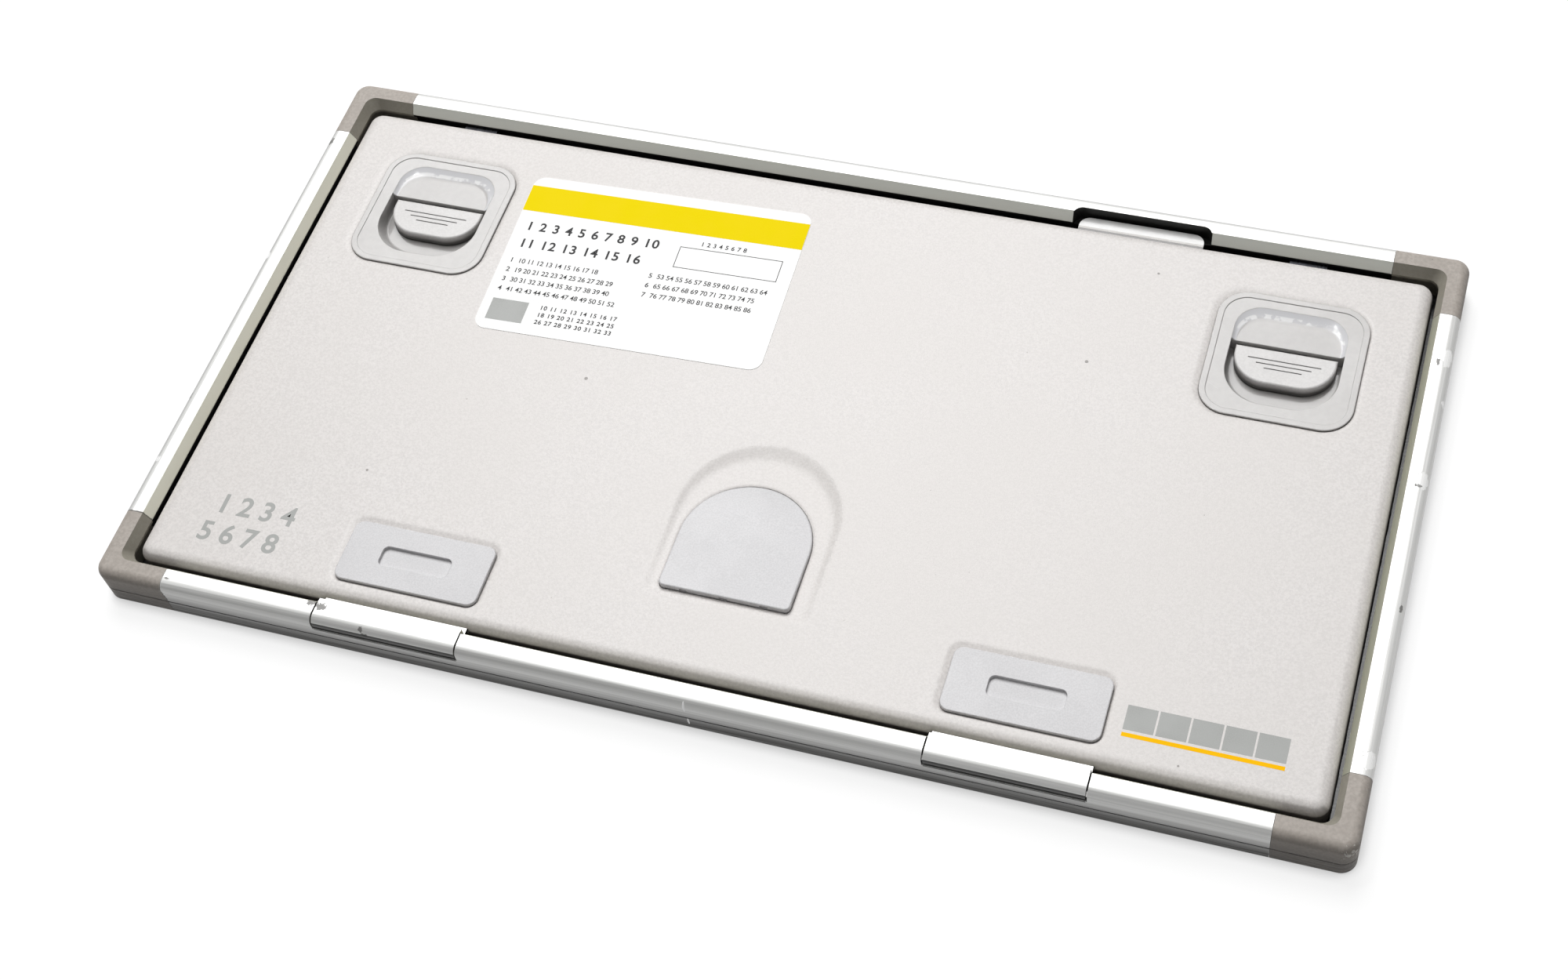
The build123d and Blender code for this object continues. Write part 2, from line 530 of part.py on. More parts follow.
def latch_bezel():
    """Flange, rim, finger scoop, button pocket and the bolt's tunnel."""
    y = BEZEL_CENTRE_Y
    field = BEZEL_SIZE - 2 * BEZEL_RIM
    bezel = rounded_block(0, y, BEZEL_SIZE, BEZEL_SIZE, BEZEL_RADIUS, TRIM_SEAT, BEZEL_TOP)
    bezel = fillet(bezel.faces().sort_by(Axis.Z)[-1].edges(), BEZEL_PROUD / 2)
    bezel -= rounded_block(0, y, field, field, BEZEL_RADIUS - BEZEL_RIM, BEZEL_FACE, BEZEL_TOP + 1)
    bezel += rounded_block(0, HOUSING_CENTRE_Y, HOUSING_WIDTH, HOUSING_LENGTH, HOUSING_RADIUS,
                           PLATE_TOP, TRIM_SEAT)
    bezel -= pocket_cut()
    bezel -= scoop_cut()
    half = BOLT_WIDTH / 2 + BOLT_CLEARANCE
    return bezel - block(-half, half, POCKET_BACK_Y - 1, HOUSING_BACK + 1,
                         BOLT_BOTTOM - BOLT_CLEARANCE, BOLT_TOP + BOLT_CLEARANCE)


def latch_button():
    foot = d_outline(BUTTON_WIDTH, BUTTON_FRONT - BUTTON_FLARE, BUTTON_BACK, BUTTON_RADIUS,
                     POCKET_FLOOR + BUTTON_FLOOR_GAP)
    top = d_outline(BUTTON_WIDTH, BUTTON_FRONT, BUTTON_BACK, BUTTON_RADIUS, BUTTON_TOP)
    button = loft([foot, top])
    for end in (0, -1):
        button = fillet(button.faces().sort_by(Axis.Z)[end].edges(), BUTTON_EDGE_RADIUS)
    line_y = BUTTON_BACK - GRIP_LINE_BACK
    for length in GRIP_LINE_LENGTHS:
        button -= block(-length / 2, length / 2, line_y - GRIP_LINE_WIDTH / 2, line_y + GRIP_LINE_WIDTH / 2,
                        BUTTON_TOP - GRIP_LINE_DEPTH, BUTTON_TOP + 1)
        line_y -= GRIP_LINE_PITCH
    return button - block(-BOLT_WIDTH / 2, BOLT_WIDTH / 2, BOLT_ROOT, BUTTON_BACK + 1, BOLT_BOTTOM, BOLT_TOP)


def latch_bolt(tab_side):
    """Flat bolt with a bevelled tip and a bent tab that the spring pushes on."""
    bolt = block(-BOLT_WIDTH / 2, BOLT_WIDTH / 2, BOLT_ROOT, BOLT_TIP, BOLT_BOTTOM, BOLT_TOP)
    tip_edge = bolt.faces().sort_by(Axis.Y)[-1].edges().sort_by(Axis.Z)[0]
    bolt = chamfer(tip_edge, BOLT_BEVEL)
    x0, x1 = sorted((tab_side * (BOLT_WIDTH / 2 - 1), tab_side * (BOLT_WIDTH / 2 + SPRING_TAB_WIDTH)))
    middle = (BOLT_TOP + BOLT_BOTTOM) / 2
    reach = SPRING_RADIUS + SPRING_WIRE / 2
    return bolt + block(x0, x1, SPRING_TAB_Y, SPRING_TAB_Y + SPRING_TAB_THICKNESS,
                        middle - reach, middle + reach)


def latch_spring(tab_side):
    """Compression spring from the back of the housing to the bolt's tab."""
    length = SPRING_LENGTH - SPRING_WIRE
    path = Helix(pitch=length / SPRING_TURNS, height=length, radius=SPRING_RADIUS)
    start = Plane(origin=path @ 0, z_dir=path % 0)
    coil = sweep(start * Circle(SPRING_WIRE / 2), path=path, is_frenet=True)
    middle = (BOLT_TOP + BOLT_BOTTOM) / 2
    place = Location((tab_side * SPRING_X, HOUSING_BACK + SPRING_WIRE / 2, middle), (-90, 0, 0))
    return place * coil


# ---------------------------------------------------------------- lift tab, cap, screws, plate
def lift_tab():
    """Tongue bonded under the lid's skin, rounded where it shows in the thumb notch."""
    root = LID_BACK - LID_WALL - TAB_ROOT
    outline = Location((NOTCH_CENTRE, (root + TAB_TIP) / 2)) * Rectangle(TAB_LENGTH, TAB_TIP - root)
    outline = fillet(outline.vertices().group_by(Axis.Y)[-1], TAB_RADIUS)
    bottom = LID_INSIDE - TAB_THICKNESS
    return Location((0, 0, bottom)) * extrude(outline, TAB_THICKNESS)


def cap_outline(extra):
    """D shape: straight front and sides, round front corners, round back."""
    half = CAP_WIDTH / 2 + extra
    front = CAP_FRONT_Y - extra
    right, left = CAP_CENTRE + half, CAP_CENTRE - half
    back = ThreePointArc((right, CAP_ARC_Y), (CAP_CENTRE, CAP_ARC_Y + half), (left, CAP_ARC_Y))
    sides = Polyline((left, CAP_ARC_Y), (left, front), (right, front), (right, CAP_ARC_Y))
    outline = make_face(back + sides)
    return fillet(outline.vertices().group_by(Axis.Y)[0], CAP_CORNER_RADIUS + extra)


def centre_cap():
    """Snap-in cap over the centre screw. Its back is below the lid's top and its front stands proud."""
    high = LID_TOP + CAP_FRONT_RISE
    cap = Location((0, 0, CAP_SEAT)) * extrude(cap_outline(0), high + 1 - CAP_SEAT)
    slope = Polyline((CAP_FRONT_Y - 1, high), (CAP_FRONT_Y, high), (CAP_BACK_Y, LID_TOP - CAP_BACK_DROP),
                     (CAP_BACK_Y + 1, LID_TOP - CAP_BACK_DROP), (CAP_BACK_Y + 1, high + 2),
                     (CAP_FRONT_Y - 1, high + 2), close=True)
    above = Plane(origin=(CAP_CENTRE - CAP_WIDTH, 0, 0), x_dir=(0, 1, 0), z_dir=(1, 0, 0)) * make_face(slope)
    cap -= extrude(above, 2 * CAP_WIDTH)
    cap = fillet(cap.faces().sort_by(Axis.Z)[-1].edges(), CAP_EDGE_RADIUS)
    for step in (-1, 0, 1):
        x = CAP_CENTRE + step * CAP_CATCH_SPACING
        cap -= block(x - CAP_CATCH_WIDTH / 2, x + CAP_CATCH_WIDTH / 2, CAP_FRONT_Y - 1,
                     CAP_FRONT_Y + CAP_CATCH_DEPTH, LID_TOP, LID_TOP + CAP_CATCH_HEIGHT)
    return cap


def centre_screw():
    head_bottom = CAP_SEAT - CENTRE_SCREW_HEAD_HEIGHT
    screw = disc(CAP_CENTRE, CAP_ARC_Y, CENTRE_SCREW_HEAD, head_bottom, CAP_SEAT)
    return screw + disc(CAP_CENTRE, CAP_ARC_Y, CENTRE_SCREW_RADIUS, PLATE_BOTTOM, head_bottom)


def plate_screw(x, y, extra=0.0):
    """Countersunk screw, flush with the underside of the pressure plate."""
    cone = Location((x, y, PLATE_BOTTOM + PLATE_THICKNESS / 2))
    cone = cone * Cone(SCREW_HEAD_RADIUS + extra, SCREW_RADIUS + extra, PLATE_THICKNESS)
    return cone + disc(x, y, SCREW_RADIUS + extra, PLATE_TOP, LID_INSIDE - SCREW_TIP_GAP + extra)


def pressure_plate():
    plate = film_sized(PLATE_BOTTOM, PLATE_THICKNESS)
    for x, y in SCREW_PLACES:
        plate -= plate_screw(x, y, SCREW_CLEARANCE)
    return plate - disc(CAP_CENTRE, CAP_ARC_Y, CENTRE_SCREW_RADIUS + SCREW_CLEARANCE,
                        PLATE_BOTTOM - 1, PLATE_TOP + 1)


# ---------------------------------------------------------------- lid shell
def dish_cut():
    """Shallow horseshoe dish round the cap with soft edges, deepest behind the cap."""
    sections = []
    for way, fall in DISH_PROFILE:
        half = DISH_WIDTH / 2 - way * DISH_SIDE_SLOPE
        back = DISH_BACK_Y - way * DISH_BACK_SLOPE
        front = CAP_FRONT_Y - (1 - way) * DISH_FRONT_RAMP
        length = back - front
        arc = ThreePointArc((half, length - half), (0, length), (-half, length - half))
        legs = Polyline((-half, length - half), (-half, 0), (half, 0), (half, length - half))
        place = Plane(origin=(DISH_CENTRE, front, LID_TOP - fall * DISH_FRONT_DEPTH), x_dir=(1, 0, 0),
                      z_dir=(0, fall * (DISH_DEPTH - DISH_FRONT_DEPTH), length))
        sections.append(place * make_face(arc + legs))
    return loft(sections)


def trim_dip(x, y, length, width, radius, depth):
    """Soft dip in the lid's skin that leads down to a trim piece of that outline."""
    reach = 2 * TRIM_DIP_REACH
    outer = RectangleRounded(length + reach, width + reach, radius + TRIM_DIP_REACH)
    inner = RectangleRounded(length, width, radius)
    return loft([Location((x - TRIM_DIP_SHIFT, y + TRIM_DIP_SHIFT, LID_TOP)) * outer,
                 Location((x, y, LID_TOP - depth)) * inner])


def lid_blank():
    """Rolled-edge pan, open below."""
    y = (LID_BACK + LID_FRONT) / 2
    depth = LID_BACK - LID_FRONT
    pan = rounded_block(0, y, 2 * LID_RIGHT, depth, LID_CORNER_RADIUS, LID_BOTTOM, LID_TOP)
    pan = fillet(pan.faces().sort_by(Axis.Z)[-1].edges(), LID_ROLL_RADIUS)
    return pan - rounded_block(0, y, 2 * (LID_RIGHT - LID_WALL), depth - 2 * LID_WALL,
                               LID_CORNER_RADIUS - LID_WALL, LID_BOTTOM - 1, LID_INSIDE)


def lid_shell():
    shell = lid_blank()
    shell -= dish_cut()
    for x, y in SCREW_PLACES:
        shell += disc(x, y, SCREW_BOSS_RADIUS, PLATE_TOP, LID_INSIDE)
        shell -= plate_screw(x, y, SCREW_CLEARANCE)
    shell += disc(CAP_CENTRE, CAP_ARC_Y, CENTRE_BOSS_RADIUS, PLATE_TOP, LID_INSIDE)
    shell -= disc(CAP_CENTRE, CAP_ARC_Y, CENTRE_SCREW_RADIUS + SCREW_CLEARANCE, PLATE_TOP - 1, LID_TOP)
    shell -= disc(CAP_CENTRE, CAP_ARC_Y, CENTRE_SCREW_HEAD + SCREW_CLEARANCE,
                  CAP_SEAT - CENTRE_SCREW_HEAD_HEIGHT, LID_TOP)
    shell -= Location((0, 0, CAP_SEAT)) * extrude(cap_outline(CAP_CLEARANCE), LID_SKIN)
    bezel_seat = BEZEL_SIZE + 2 * TRIM_CLEARANCE
    housing_gap = 2 * HOUSING_CLEARANCE
    bolt_half = BOLT_WIDTH / 2 + BOLT_CLEARANCE
    for _, side in SIDES:
        latch = side * LATCH_CENTRE
        shell -= trim_dip(latch, BEZEL_CENTRE_Y, BEZEL_SIZE, BEZEL_SIZE, BEZEL_RADIUS, BEZEL_DIP)
        shell -= rounded_block(latch, BEZEL_CENTRE_Y, bezel_seat, bezel_seat, BEZEL_RADIUS + TRIM_CLEARANCE,
                               TRIM_SEAT, LID_TOP + 1)
        shell -= rounded_block(latch, HOUSING_CENTRE_Y, HOUSING_WIDTH + housing_gap,
                               HOUSING_LENGTH + housing_gap, HOUSING_RADIUS + HOUSING_CLEARANCE,
                               LID_INSIDE - 1, LID_TOP + 1)
        shell -= block(latch - bolt_half, latch + bolt_half, LID_BACK - LID_WALL - 1, LID_BACK + 1,
                       BOLT_BOTTOM - BOLT_CLEARANCE, BOLT_TOP + BOLT_CLEARANCE)
        hinge = side * HINGE_CENTRE
        shell -= trim_dip(hinge, COVER_CENTRE_Y, COVER_LENGTH, COVER_WIDTH, COVER_RADIUS, COVER_DIP)
        shell -= rounded_block(hinge, COVER_CENTRE_Y, COVER_LENGTH + 2 * TRIM_CLEARANCE,
                               COVER_WIDTH + 2 * TRIM_CLEARANCE, COVER_RADIUS + TRIM_CLEARANCE,
                               TRIM_SEAT, LID_TOP + 1)
        for x, y in rivet_places(side):
            shell -= rivet(x, y, RIVET_CLEARANCE)
        low, high = knuckle_span(side)
        shell -= block(low - LEAF_SLOT_GAP, high + LEAF_SLOT_GAP, LID_FRONT - 1, LID_FRONT + LID_WALL + 1,
                       LEAF_BOTTOM - LEAF_SLOT_GAP, LID_INSIDE)
    tab_half = TAB_LENGTH / 2 + TAB_SLOT_CLEARANCE
    return shell - block(NOTCH_CENTRE - tab_half, NOTCH_CENTRE + tab_half, LID_BACK - LID_WALL - 1,
                         LID_BACK + 1, LID_INSIDE - TAB_THICKNESS - TAB_SLOT_CLEARANCE, LID_INSIDE)


def label():
    place = Location((*LABEL_CENTRE, LID_TOP), (0, 0, LABEL_TURN))
    return place * extrude(RectangleRounded(LABEL_LENGTH, LABEL_WIDTH, LABEL_RADIUS), LABEL_THICKNESS)


# ---------------------------------------------------------------- write every piece
def main():
    save("front_rail", front_rail())
    save("back_rail", back_rail())
    save("left_rail", side_rail(-1))
    save("right_rail", side_rail(1))

    front_left = corner_block()
    front_right = mirror(front_left, Plane.YZ)
    save("corner_front_left", front_left)
    save("corner_front_right", front_right)
    save("corner_back_left", mirror(front_left, Plane.XZ))
    save("corner_back_right", mirror(front_right, Plane.XZ))

    save("front_panel", front_panel())
    save("front_screen", film_sized(PANEL_TOP, SCREEN_THICKNESS))
    for name, strip in seal_strips().items():
        save(f"seal_{name}", strip)

    save("lid_shell", lid_shell())
    save("rear_screen", film_sized(REAR_SCREEN_BOTTOM, SCREEN_THICKNESS))
    save("lead_sheet", film_sized(LEAD_BOTTOM, LEAD_THICKNESS))
    save("pressure_foam", film_sized(FOAM_BOTTOM, FOAM_THICKNESS))
    save("pressure_plate", pressure_plate())
    save("plate_screws", Compound(children=[plate_screw(x, y).solid() for x, y in SCREW_PLACES]))
    save("centre_screw", centre_screw())
    save("centre_cap", centre_cap())
    save("lift_tab", lift_tab())
    save("label", label())
    save("hinge_rivets", hinge_rivets())

    bezel = latch_bezel()
    button = latch_button()
    for name, side in SIDES:
        place = Location((side * LATCH_CENTRE, 0, 0))
        save(f"hinge_pin_{name}", hinge_pin(side))
        save(f"hinge_knuckle_{name}", hinge_knuckle(side))
        save(f"hinge_cover_{name}", hinge_cover(side))
        save(f"latch_bezel_{name}", place * bezel)
        save(f"latch_button_{name}", place * button)
        save(f"latch_bolt_{name}", place * latch_bolt(side))
        save(f"latch_spring_{name}", place * latch_spring(side))


main()
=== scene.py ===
# %% [markdown]
# # An x-ray film cassette
# A film cassette is a flat, light-tight box. An aluminium frame with plastic corners carries a thin
# front panel, and a hinged enamelled lid presses the film between two screens. The hard shapes come
# from the CAD model. This lesson gives each surface its finish, adds the soft and printed pieces
# that a CAD solid can't show, and lights the whole for a studio picture.

# %% Load the CAD model
import math

import bmesh
import bpy
from mathutils import Matrix, Vector, noise


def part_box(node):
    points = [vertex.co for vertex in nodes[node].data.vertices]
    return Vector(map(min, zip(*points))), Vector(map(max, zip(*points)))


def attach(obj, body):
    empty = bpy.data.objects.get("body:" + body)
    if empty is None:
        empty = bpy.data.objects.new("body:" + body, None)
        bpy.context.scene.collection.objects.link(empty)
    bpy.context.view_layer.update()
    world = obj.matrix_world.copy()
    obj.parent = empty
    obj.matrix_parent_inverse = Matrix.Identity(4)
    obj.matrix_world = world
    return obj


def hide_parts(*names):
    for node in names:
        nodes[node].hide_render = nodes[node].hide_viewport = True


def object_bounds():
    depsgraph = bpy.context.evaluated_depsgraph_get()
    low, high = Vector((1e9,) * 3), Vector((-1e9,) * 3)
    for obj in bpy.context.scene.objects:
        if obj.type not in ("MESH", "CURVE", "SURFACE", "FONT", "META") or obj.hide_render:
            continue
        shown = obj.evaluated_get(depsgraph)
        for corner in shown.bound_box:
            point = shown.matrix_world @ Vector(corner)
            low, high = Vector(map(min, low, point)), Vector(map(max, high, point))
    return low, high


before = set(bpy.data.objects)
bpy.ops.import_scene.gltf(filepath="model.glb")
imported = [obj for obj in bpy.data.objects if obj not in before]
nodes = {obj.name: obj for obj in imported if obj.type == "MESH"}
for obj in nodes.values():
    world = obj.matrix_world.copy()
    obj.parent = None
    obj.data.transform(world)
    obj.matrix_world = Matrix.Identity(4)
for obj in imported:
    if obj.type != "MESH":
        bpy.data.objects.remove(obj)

MM = 0.001
cad_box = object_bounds()


def add_object(name, data):
    item = bpy.data.objects.new(name, data)
    bpy.context.scene.collection.objects.link(item)
    return item


def mesh_object(name, mesh):
    """Turns a finished bmesh into an object."""
    data = bpy.data.meshes.new(name)
    mesh.to_mesh(data)
    mesh.free()
    return add_object(name, data)


print("CAD nodes:", len(nodes), "box, mm:", [round(v / MM, 1) for corner in cad_box for v in corner])


# %% [markdown]
# ## Camera
# A product camera is set by its place, by the direction that it looks in and by its lens. The back
# vector points from the object to the camera, so azimuth and elevation give it directly. Roll turns
# the picture about that line. The small shift moves the frame as a crop would, with no change of
# perspective.

# %% Place the camera
CAMERA_PLACE = (159.5, -308.7, 488.6)      # mm
CAMERA_AZIMUTH = 24.66                     # degrees
CAMERA_ELEVATION = 55.80
CAMERA_ROLL = -9.81
CAMERA_LENS = 51.9                         # mm, on a 36 mm sensor
CAMERA_SHIFT = (-0.0503, -0.0087)


def direction(azimuth, elevation):
    """Unit vector from the object towards a viewer or a lamp."""
    a, e = math.radians(azimuth), math.radians(elevation)
    return Vector((math.sin(a) * math.cos(e), -math.cos(a) * math.cos(e), math.sin(e)))


def facing(azimuth, elevation, roll=0.0):
    """Rotation of a camera or lamp that looks back along that direction."""
    back = direction(azimuth, elevation)
    level = Vector((math.cos(math.radians(azimuth)), math.sin(math.radians(azimuth)), 0))
    upright = back.cross(level)
    turn = math.radians(roll)
    right = level * math.cos(turn) + upright * math.sin(turn)
    return Matrix((right, back.cross(right), back)).transposed().to_4x4()


camera_data = bpy.data.cameras.new("camera")
camera_data.lens = CAMERA_LENS
camera_data.shift_x, camera_data.shift_y = CAMERA_SHIFT
camera_data.clip_start = 0.01
camera = add_object("camera", camera_data)
camera.matrix_world = (Matrix.Translation(Vector(CAMERA_PLACE) * MM)
                       @ facing(CAMERA_AZIMUTH, CAMERA_ELEVATION, CAMERA_ROLL))
bpy.context.scene.camera = camera
print("camera stands", round(Vector(CAMERA_PLACE).length), "mm from the middle of the underside")


# %% [markdown]
# ## Nodes in few words
# Every finish below is a network of shader nodes. These helpers add one node, one sum or one mix at
# a time, so that a material reads like a recipe. A value given as a socket is linked, and any other
# value is set on the node.

# %% Helpers for shader nodes
def add_node(tree, kind, sockets=None, **settings):
    node = tree.nodes.new(kind)
    for name, value in settings.items():
        setattr(node, name, value)
    for name, value in (sockets or {}).items():
        if isinstance(value, bpy.types.NodeSocket):
            tree.links.new(value, node.inputs[name])
        else:
            node.inputs[name].default_value = value
    return node


def calc(tree, operation, *values, clamp=False):
    sockets = dict(enumerate(values))
    return add_node(tree, "ShaderNodeMath", sockets, operation=operation, use_clamp=clamp).outputs[0]


def times(tree, product, *factors):
    for factor in factors:
        product = calc(tree, "MULTIPLY", product, factor)
    return product


def vector_calc(tree, operation, *values):
    return add_node(tree, "ShaderNodeVectorMath", dict(enumerate(values)), operation=operation).outputs


def ramp(tree, value, low, high, to_low=0.0, to_high=1.0):
    """Smooth step from to_low at low to to_high at high."""
    node = add_node(tree, "ShaderNodeMapRange", {"Value": value, "From Min": low, "From Max": high,
                                                 "To Min": to_low, "To Max": to_high},
                    interpolation_type="SMOOTHSTEP")
    return node.outputs["Result"]


def mix_colour(tree, factor, first, second):
    colours = [(*value, 1.0) if isinstance(value, tuple) else value for value in (first, second)]
    sockets = {0: factor, 6: colours[0], 7: colours[1]}
    return add_node(tree, "ShaderNodeMix", sockets, data_type="RGBA").outputs[2]


def lay(tree, below, mask, tint, amount):
    """Lays a tint over a colour where the mask says, and no more strongly than the amount."""
    return mix_colour(tree, times(tree, mask, amount), below, tint)


def object_place(tree):
    """Place on the object in metres: it rides along when the piece moves."""
    return add_node(tree, "ShaderNodeTexCoord").outputs["Object"]


def place_axes(tree):
    return add_node(tree, "ShaderNodeSeparateXYZ", {0: object_place(tree)}).outputs


def height_above_floor(tree):
    return place_axes(tree)[2]


def outward(tree):
    """Above 0 on walls that look away from the middle of the cassette, below 0 on inner walls."""
    here = add_node(tree, "ShaderNodeTexCoord").outputs
    level = vector_calc(tree, "MULTIPLY", here["Object"], (1.0, 1.0, 0.0))[0]
    return vector_calc(tree, "DOT_PRODUCT", level, here["Normal"])["Value"]


def new_group(name, inputs, outputs):
    """Empty node group with named sockets. Inputs are (name, default), where three numbers are a vector."""
    group = bpy.data.node_groups.new(name, "ShaderNodeTree")
    for label, default in inputs:
        kind = "NodeSocketVector" if isinstance(default, tuple) else "NodeSocketFloat"
        group.interface.new_socket(label, in_out="INPUT", socket_type=kind).default_value = default
    for label in outputs:
        group.interface.new_socket(label, in_out="OUTPUT", socket_type="NodeSocketFloat")
    return group, group.nodes.new("NodeGroupInput").outputs, group.nodes.new("NodeGroupOutput").inputs


def use_group(tree, group, **values):
    """Places a group in a material. Socket names are given with _ for a space."""
    sockets = {name.replace("_", " "): value for name, value in values.items()}
    return add_node(tree, "ShaderNodeGroup", sockets, node_tree=group).outputs


# %% [markdown]
# ## Effects that several finishes share
# Enamel, moulded plastic and metal all have some grain, some dirt and some wear, only in different
# amounts. Each effect is therefore one node group with its own inputs, built once. A group gives out
# plain masks and heights, and the material decides what they do to colour, gloss and bump.

# %% Grain: a fine, even texture of paint, moulding or paper
def build_grain():
    group, given, made = new_group("grain", [("Scale", 1500.0)], ["Height", "Tone"])
    place = object_place(group)
    coarse = add_node(group, "ShaderNodeTexNoise", {"Vector": place, "Scale": given["Scale"],
                                                    "Detail": 3.0, "Roughness": 0.55})
    fine_scale = times(group, given["Scale"], 2.3)
    fine = add_node(group, "ShaderNodeTexNoise", {"Vector": place, "Scale": fine_scale, "Detail": 2.0})
    both = calc(group, "ADD", coarse.outputs["Fac"], fine.outputs["Fac"])
    group.links.new(times(group, both, 0.5), made["Height"])
    group.links.new(ramp(group, coarse.outputs["Fac"], 0.3, 0.7), made["Tone"])
    return group


# %% Drawn lines: marks left along a metal profile by its die, or by brushing
def build_drawn_lines():
    group, given, made = new_group("drawn_lines", [("Stretch", (20.0, 3000.0, 3000.0))],
                                   ["Height", "Tone"])
    place = vector_calc(group, "MULTIPLY", object_place(group), given["Stretch"])[0]
    lines = add_node(group, "ShaderNodeTexNoise", {"Vector": place, "Scale": 1.0, "Detail": 4.0,
                                                   "Roughness": 0.7}).outputs["Fac"]
    bands = add_node(group, "ShaderNodeTexNoise", {"Vector": place, "Scale": 0.22,
                                                   "Detail": 1.0}).outputs["Fac"]
    group.links.new(lines, made["Height"])
    group.links.new(ramp(group, calc(group, "ADD", lines, bands), 0.75, 1.25), made["Tone"])
    return group


# %% Edge wear and highlight: handling rubs a rigid piece along its edges, in patches, and on the moulded trim the same mask is a painted highlight
def build_edge_wear():
    group, given, made = new_group("edge_wear_and_highlight", [("Width", 0.0004), ("Patch Scale", 300.0),
                                                 ("Amount", 1.0)], ["Mask"])
    rounded = add_node(group, "ShaderNodeBevel", {"Radius": given["Width"]}, samples=6)
    true_normal = add_node(group, "ShaderNodeNewGeometry").outputs["Normal"]
    same = vector_calc(group, "DOT_PRODUCT", rounded.outputs[0], true_normal)["Value"]
    edge = ramp(group, same, 0.995, 0.90)
    patches = add_node(group, "ShaderNodeTexNoise", {"Vector": object_place(group),
                                                     "Scale": given["Patch Scale"], "Detail": 4.0})
    worn = times(group, edge, ramp(group, patches.outputs["Fac"], 0.42, 0.62))
    group.links.new(calc(group, "MULTIPLY", worn, given["Amount"], clamp=True), made["Mask"])
    return group


# %% Specks: single dots of dirt, each in its own cell, with most cells left empty
def build_specks():
    group, given, made = new_group("specks", [("Scale", 120.0), ("Size", 0.03), ("Share", 0.1)],
                                   ["Mask"])
    cells = add_node(group, "ShaderNodeTexVoronoi", {"Vector": object_place(group),
                                                     "Scale": given["Scale"], "Randomness": 1.0})
    chance = add_node(group, "ShaderNodeSeparateColor", {"Color": cells.outputs["Color"]})
    chosen = calc(group, "LESS_THAN", chance.outputs[0], given["Share"])
    reach = times(group, given["Size"], calc(group, "ADD", chance.outputs[1], 0.5))
    dot = calc(group, "LESS_THAN", cells.outputs["Distance"], reach)
    group.links.new(times(group, chosen, dot), made["Mask"])
    return group


# %% Mark: one ragged spot at a named place, for a nick, a scuff or a pitted corner
def build_mark():
    group, given, made = new_group("mark", [("Place", (0.0, 0.0, 0.0)), ("Reach", (0.002, 0.002, 0.002)),
                                            ("Raggedness", 0.8), ("Scale", 900.0)], ["Mask"])
    here = object_place(group)
    away = vector_calc(group, "SUBTRACT", here, given["Place"])[0]
    far = vector_calc(group, "LENGTH", vector_calc(group, "DIVIDE", away, given["Reach"])[0])["Value"]
    rag = add_node(group, "ShaderNodeTexNoise", {"Vector": here, "Scale": given["Scale"], "Detail": 3.0})
    wobble = times(group, calc(group, "SUBTRACT", rag.outputs["Fac"], 0.5), given["Raggedness"])
    group.links.new(ramp(group, calc(group, "ADD", far, wobble), 1.0, 0.8), made["Mask"])
    return group


# %% Scratches: thin broken lines, all more or less along one direction
def build_scratches():
    group, given, made = new_group("scratches", [("Turn", 0.0), ("Spacing", 0.004), ("Share", 0.5)],
                                   ["Mask"])
    turned = add_node(group, "ShaderNodeVectorRotate", {"Vector": object_place(group),
                                                        "Angle": given["Turn"]},
                      rotation_type="Z_AXIS").outputs[0]
    bend = add_node(group, "ShaderNodeTexNoise", {"Vector": turned, "Scale": 40.0}).outputs["Fac"]
    axes = add_node(group, "ShaderNodeSeparateXYZ", {0: turned}).outputs
    across = calc(group, "ADD", calc(group, "DIVIDE", axes[1], given["Spacing"]), bend)
    cells = add_node(group, "ShaderNodeTexVoronoi", {"W": across, "Scale": 1.0},
                     voronoi_dimensions="1D").outputs["Distance"]
    stretched = vector_calc(group, "MULTIPLY", turned, (60.0, 500.0, 500.0))[0]
    broken = add_node(group, "ShaderNodeTexNoise", {"Vector": stretched, "Scale": 1.0}).outputs["Fac"]
    gate = calc(group, "LESS_THAN", broken, given["Share"])
    group.links.new(times(group, ramp(group, cells, 0.012, 0.004), gate), made["Mask"])
    return group


# %% Gap dirt and shade: dust and grease gather where a surface is nearly shut in by its neighbours, and the same mask darkens those places as painted shade
def build_gap_dirt():
    group, given, made = new_group("gap_dirt_and_shade", [("Reach", 0.001), ("Amount", 1.0)], ["Mask"])
    openness = add_node(group, "ShaderNodeAmbientOcclusion", {"Distance": given["Reach"]}, samples=8)
    patches = add_node(group, "ShaderNodeTexNoise", {"Vector": object_place(group), "Scale": 260.0,
                                                     "Detail": 3.0})
    shut = ramp(group, openness.outputs["AO"], 0.80, 0.30)
    dirt_and_shade = times(group, shut, ramp(group, patches.outputs["Fac"], 0.2, 0.6, 0.7, 1.0))
    group.links.new(calc(group, "MULTIPLY", dirt_and_shade, given["Amount"], clamp=True), made["Mask"])
    return group


gap_dirt_and_shade = build_gap_dirt()
grain = build_grain()
drawn_lines = build_drawn_lines()
edge_wear_and_highlight = build_edge_wear()
specks = build_specks()
mark = build_mark()
scratches = build_scratches()
print("shared effects:", [g.name for g in bpy.data.node_groups])


# %% [markdown]
# ## The start of every material
# Each finish has one Principled shader. What is the same all over, such as the sheen of plush, is
# set straight on the shader. What varies over the surface is linked to colour, roughness and bump.

# %% Start and finish a material
def new_material(name, **constants):
    material = bpy.data.materials.new(name)
    material.use_nodes = True
    shader = material.node_tree.nodes["Principled BSDF"]
    for label, value in constants.items():
        shader.inputs[label.replace("_", " ")].default_value = value
    return material, material.node_tree


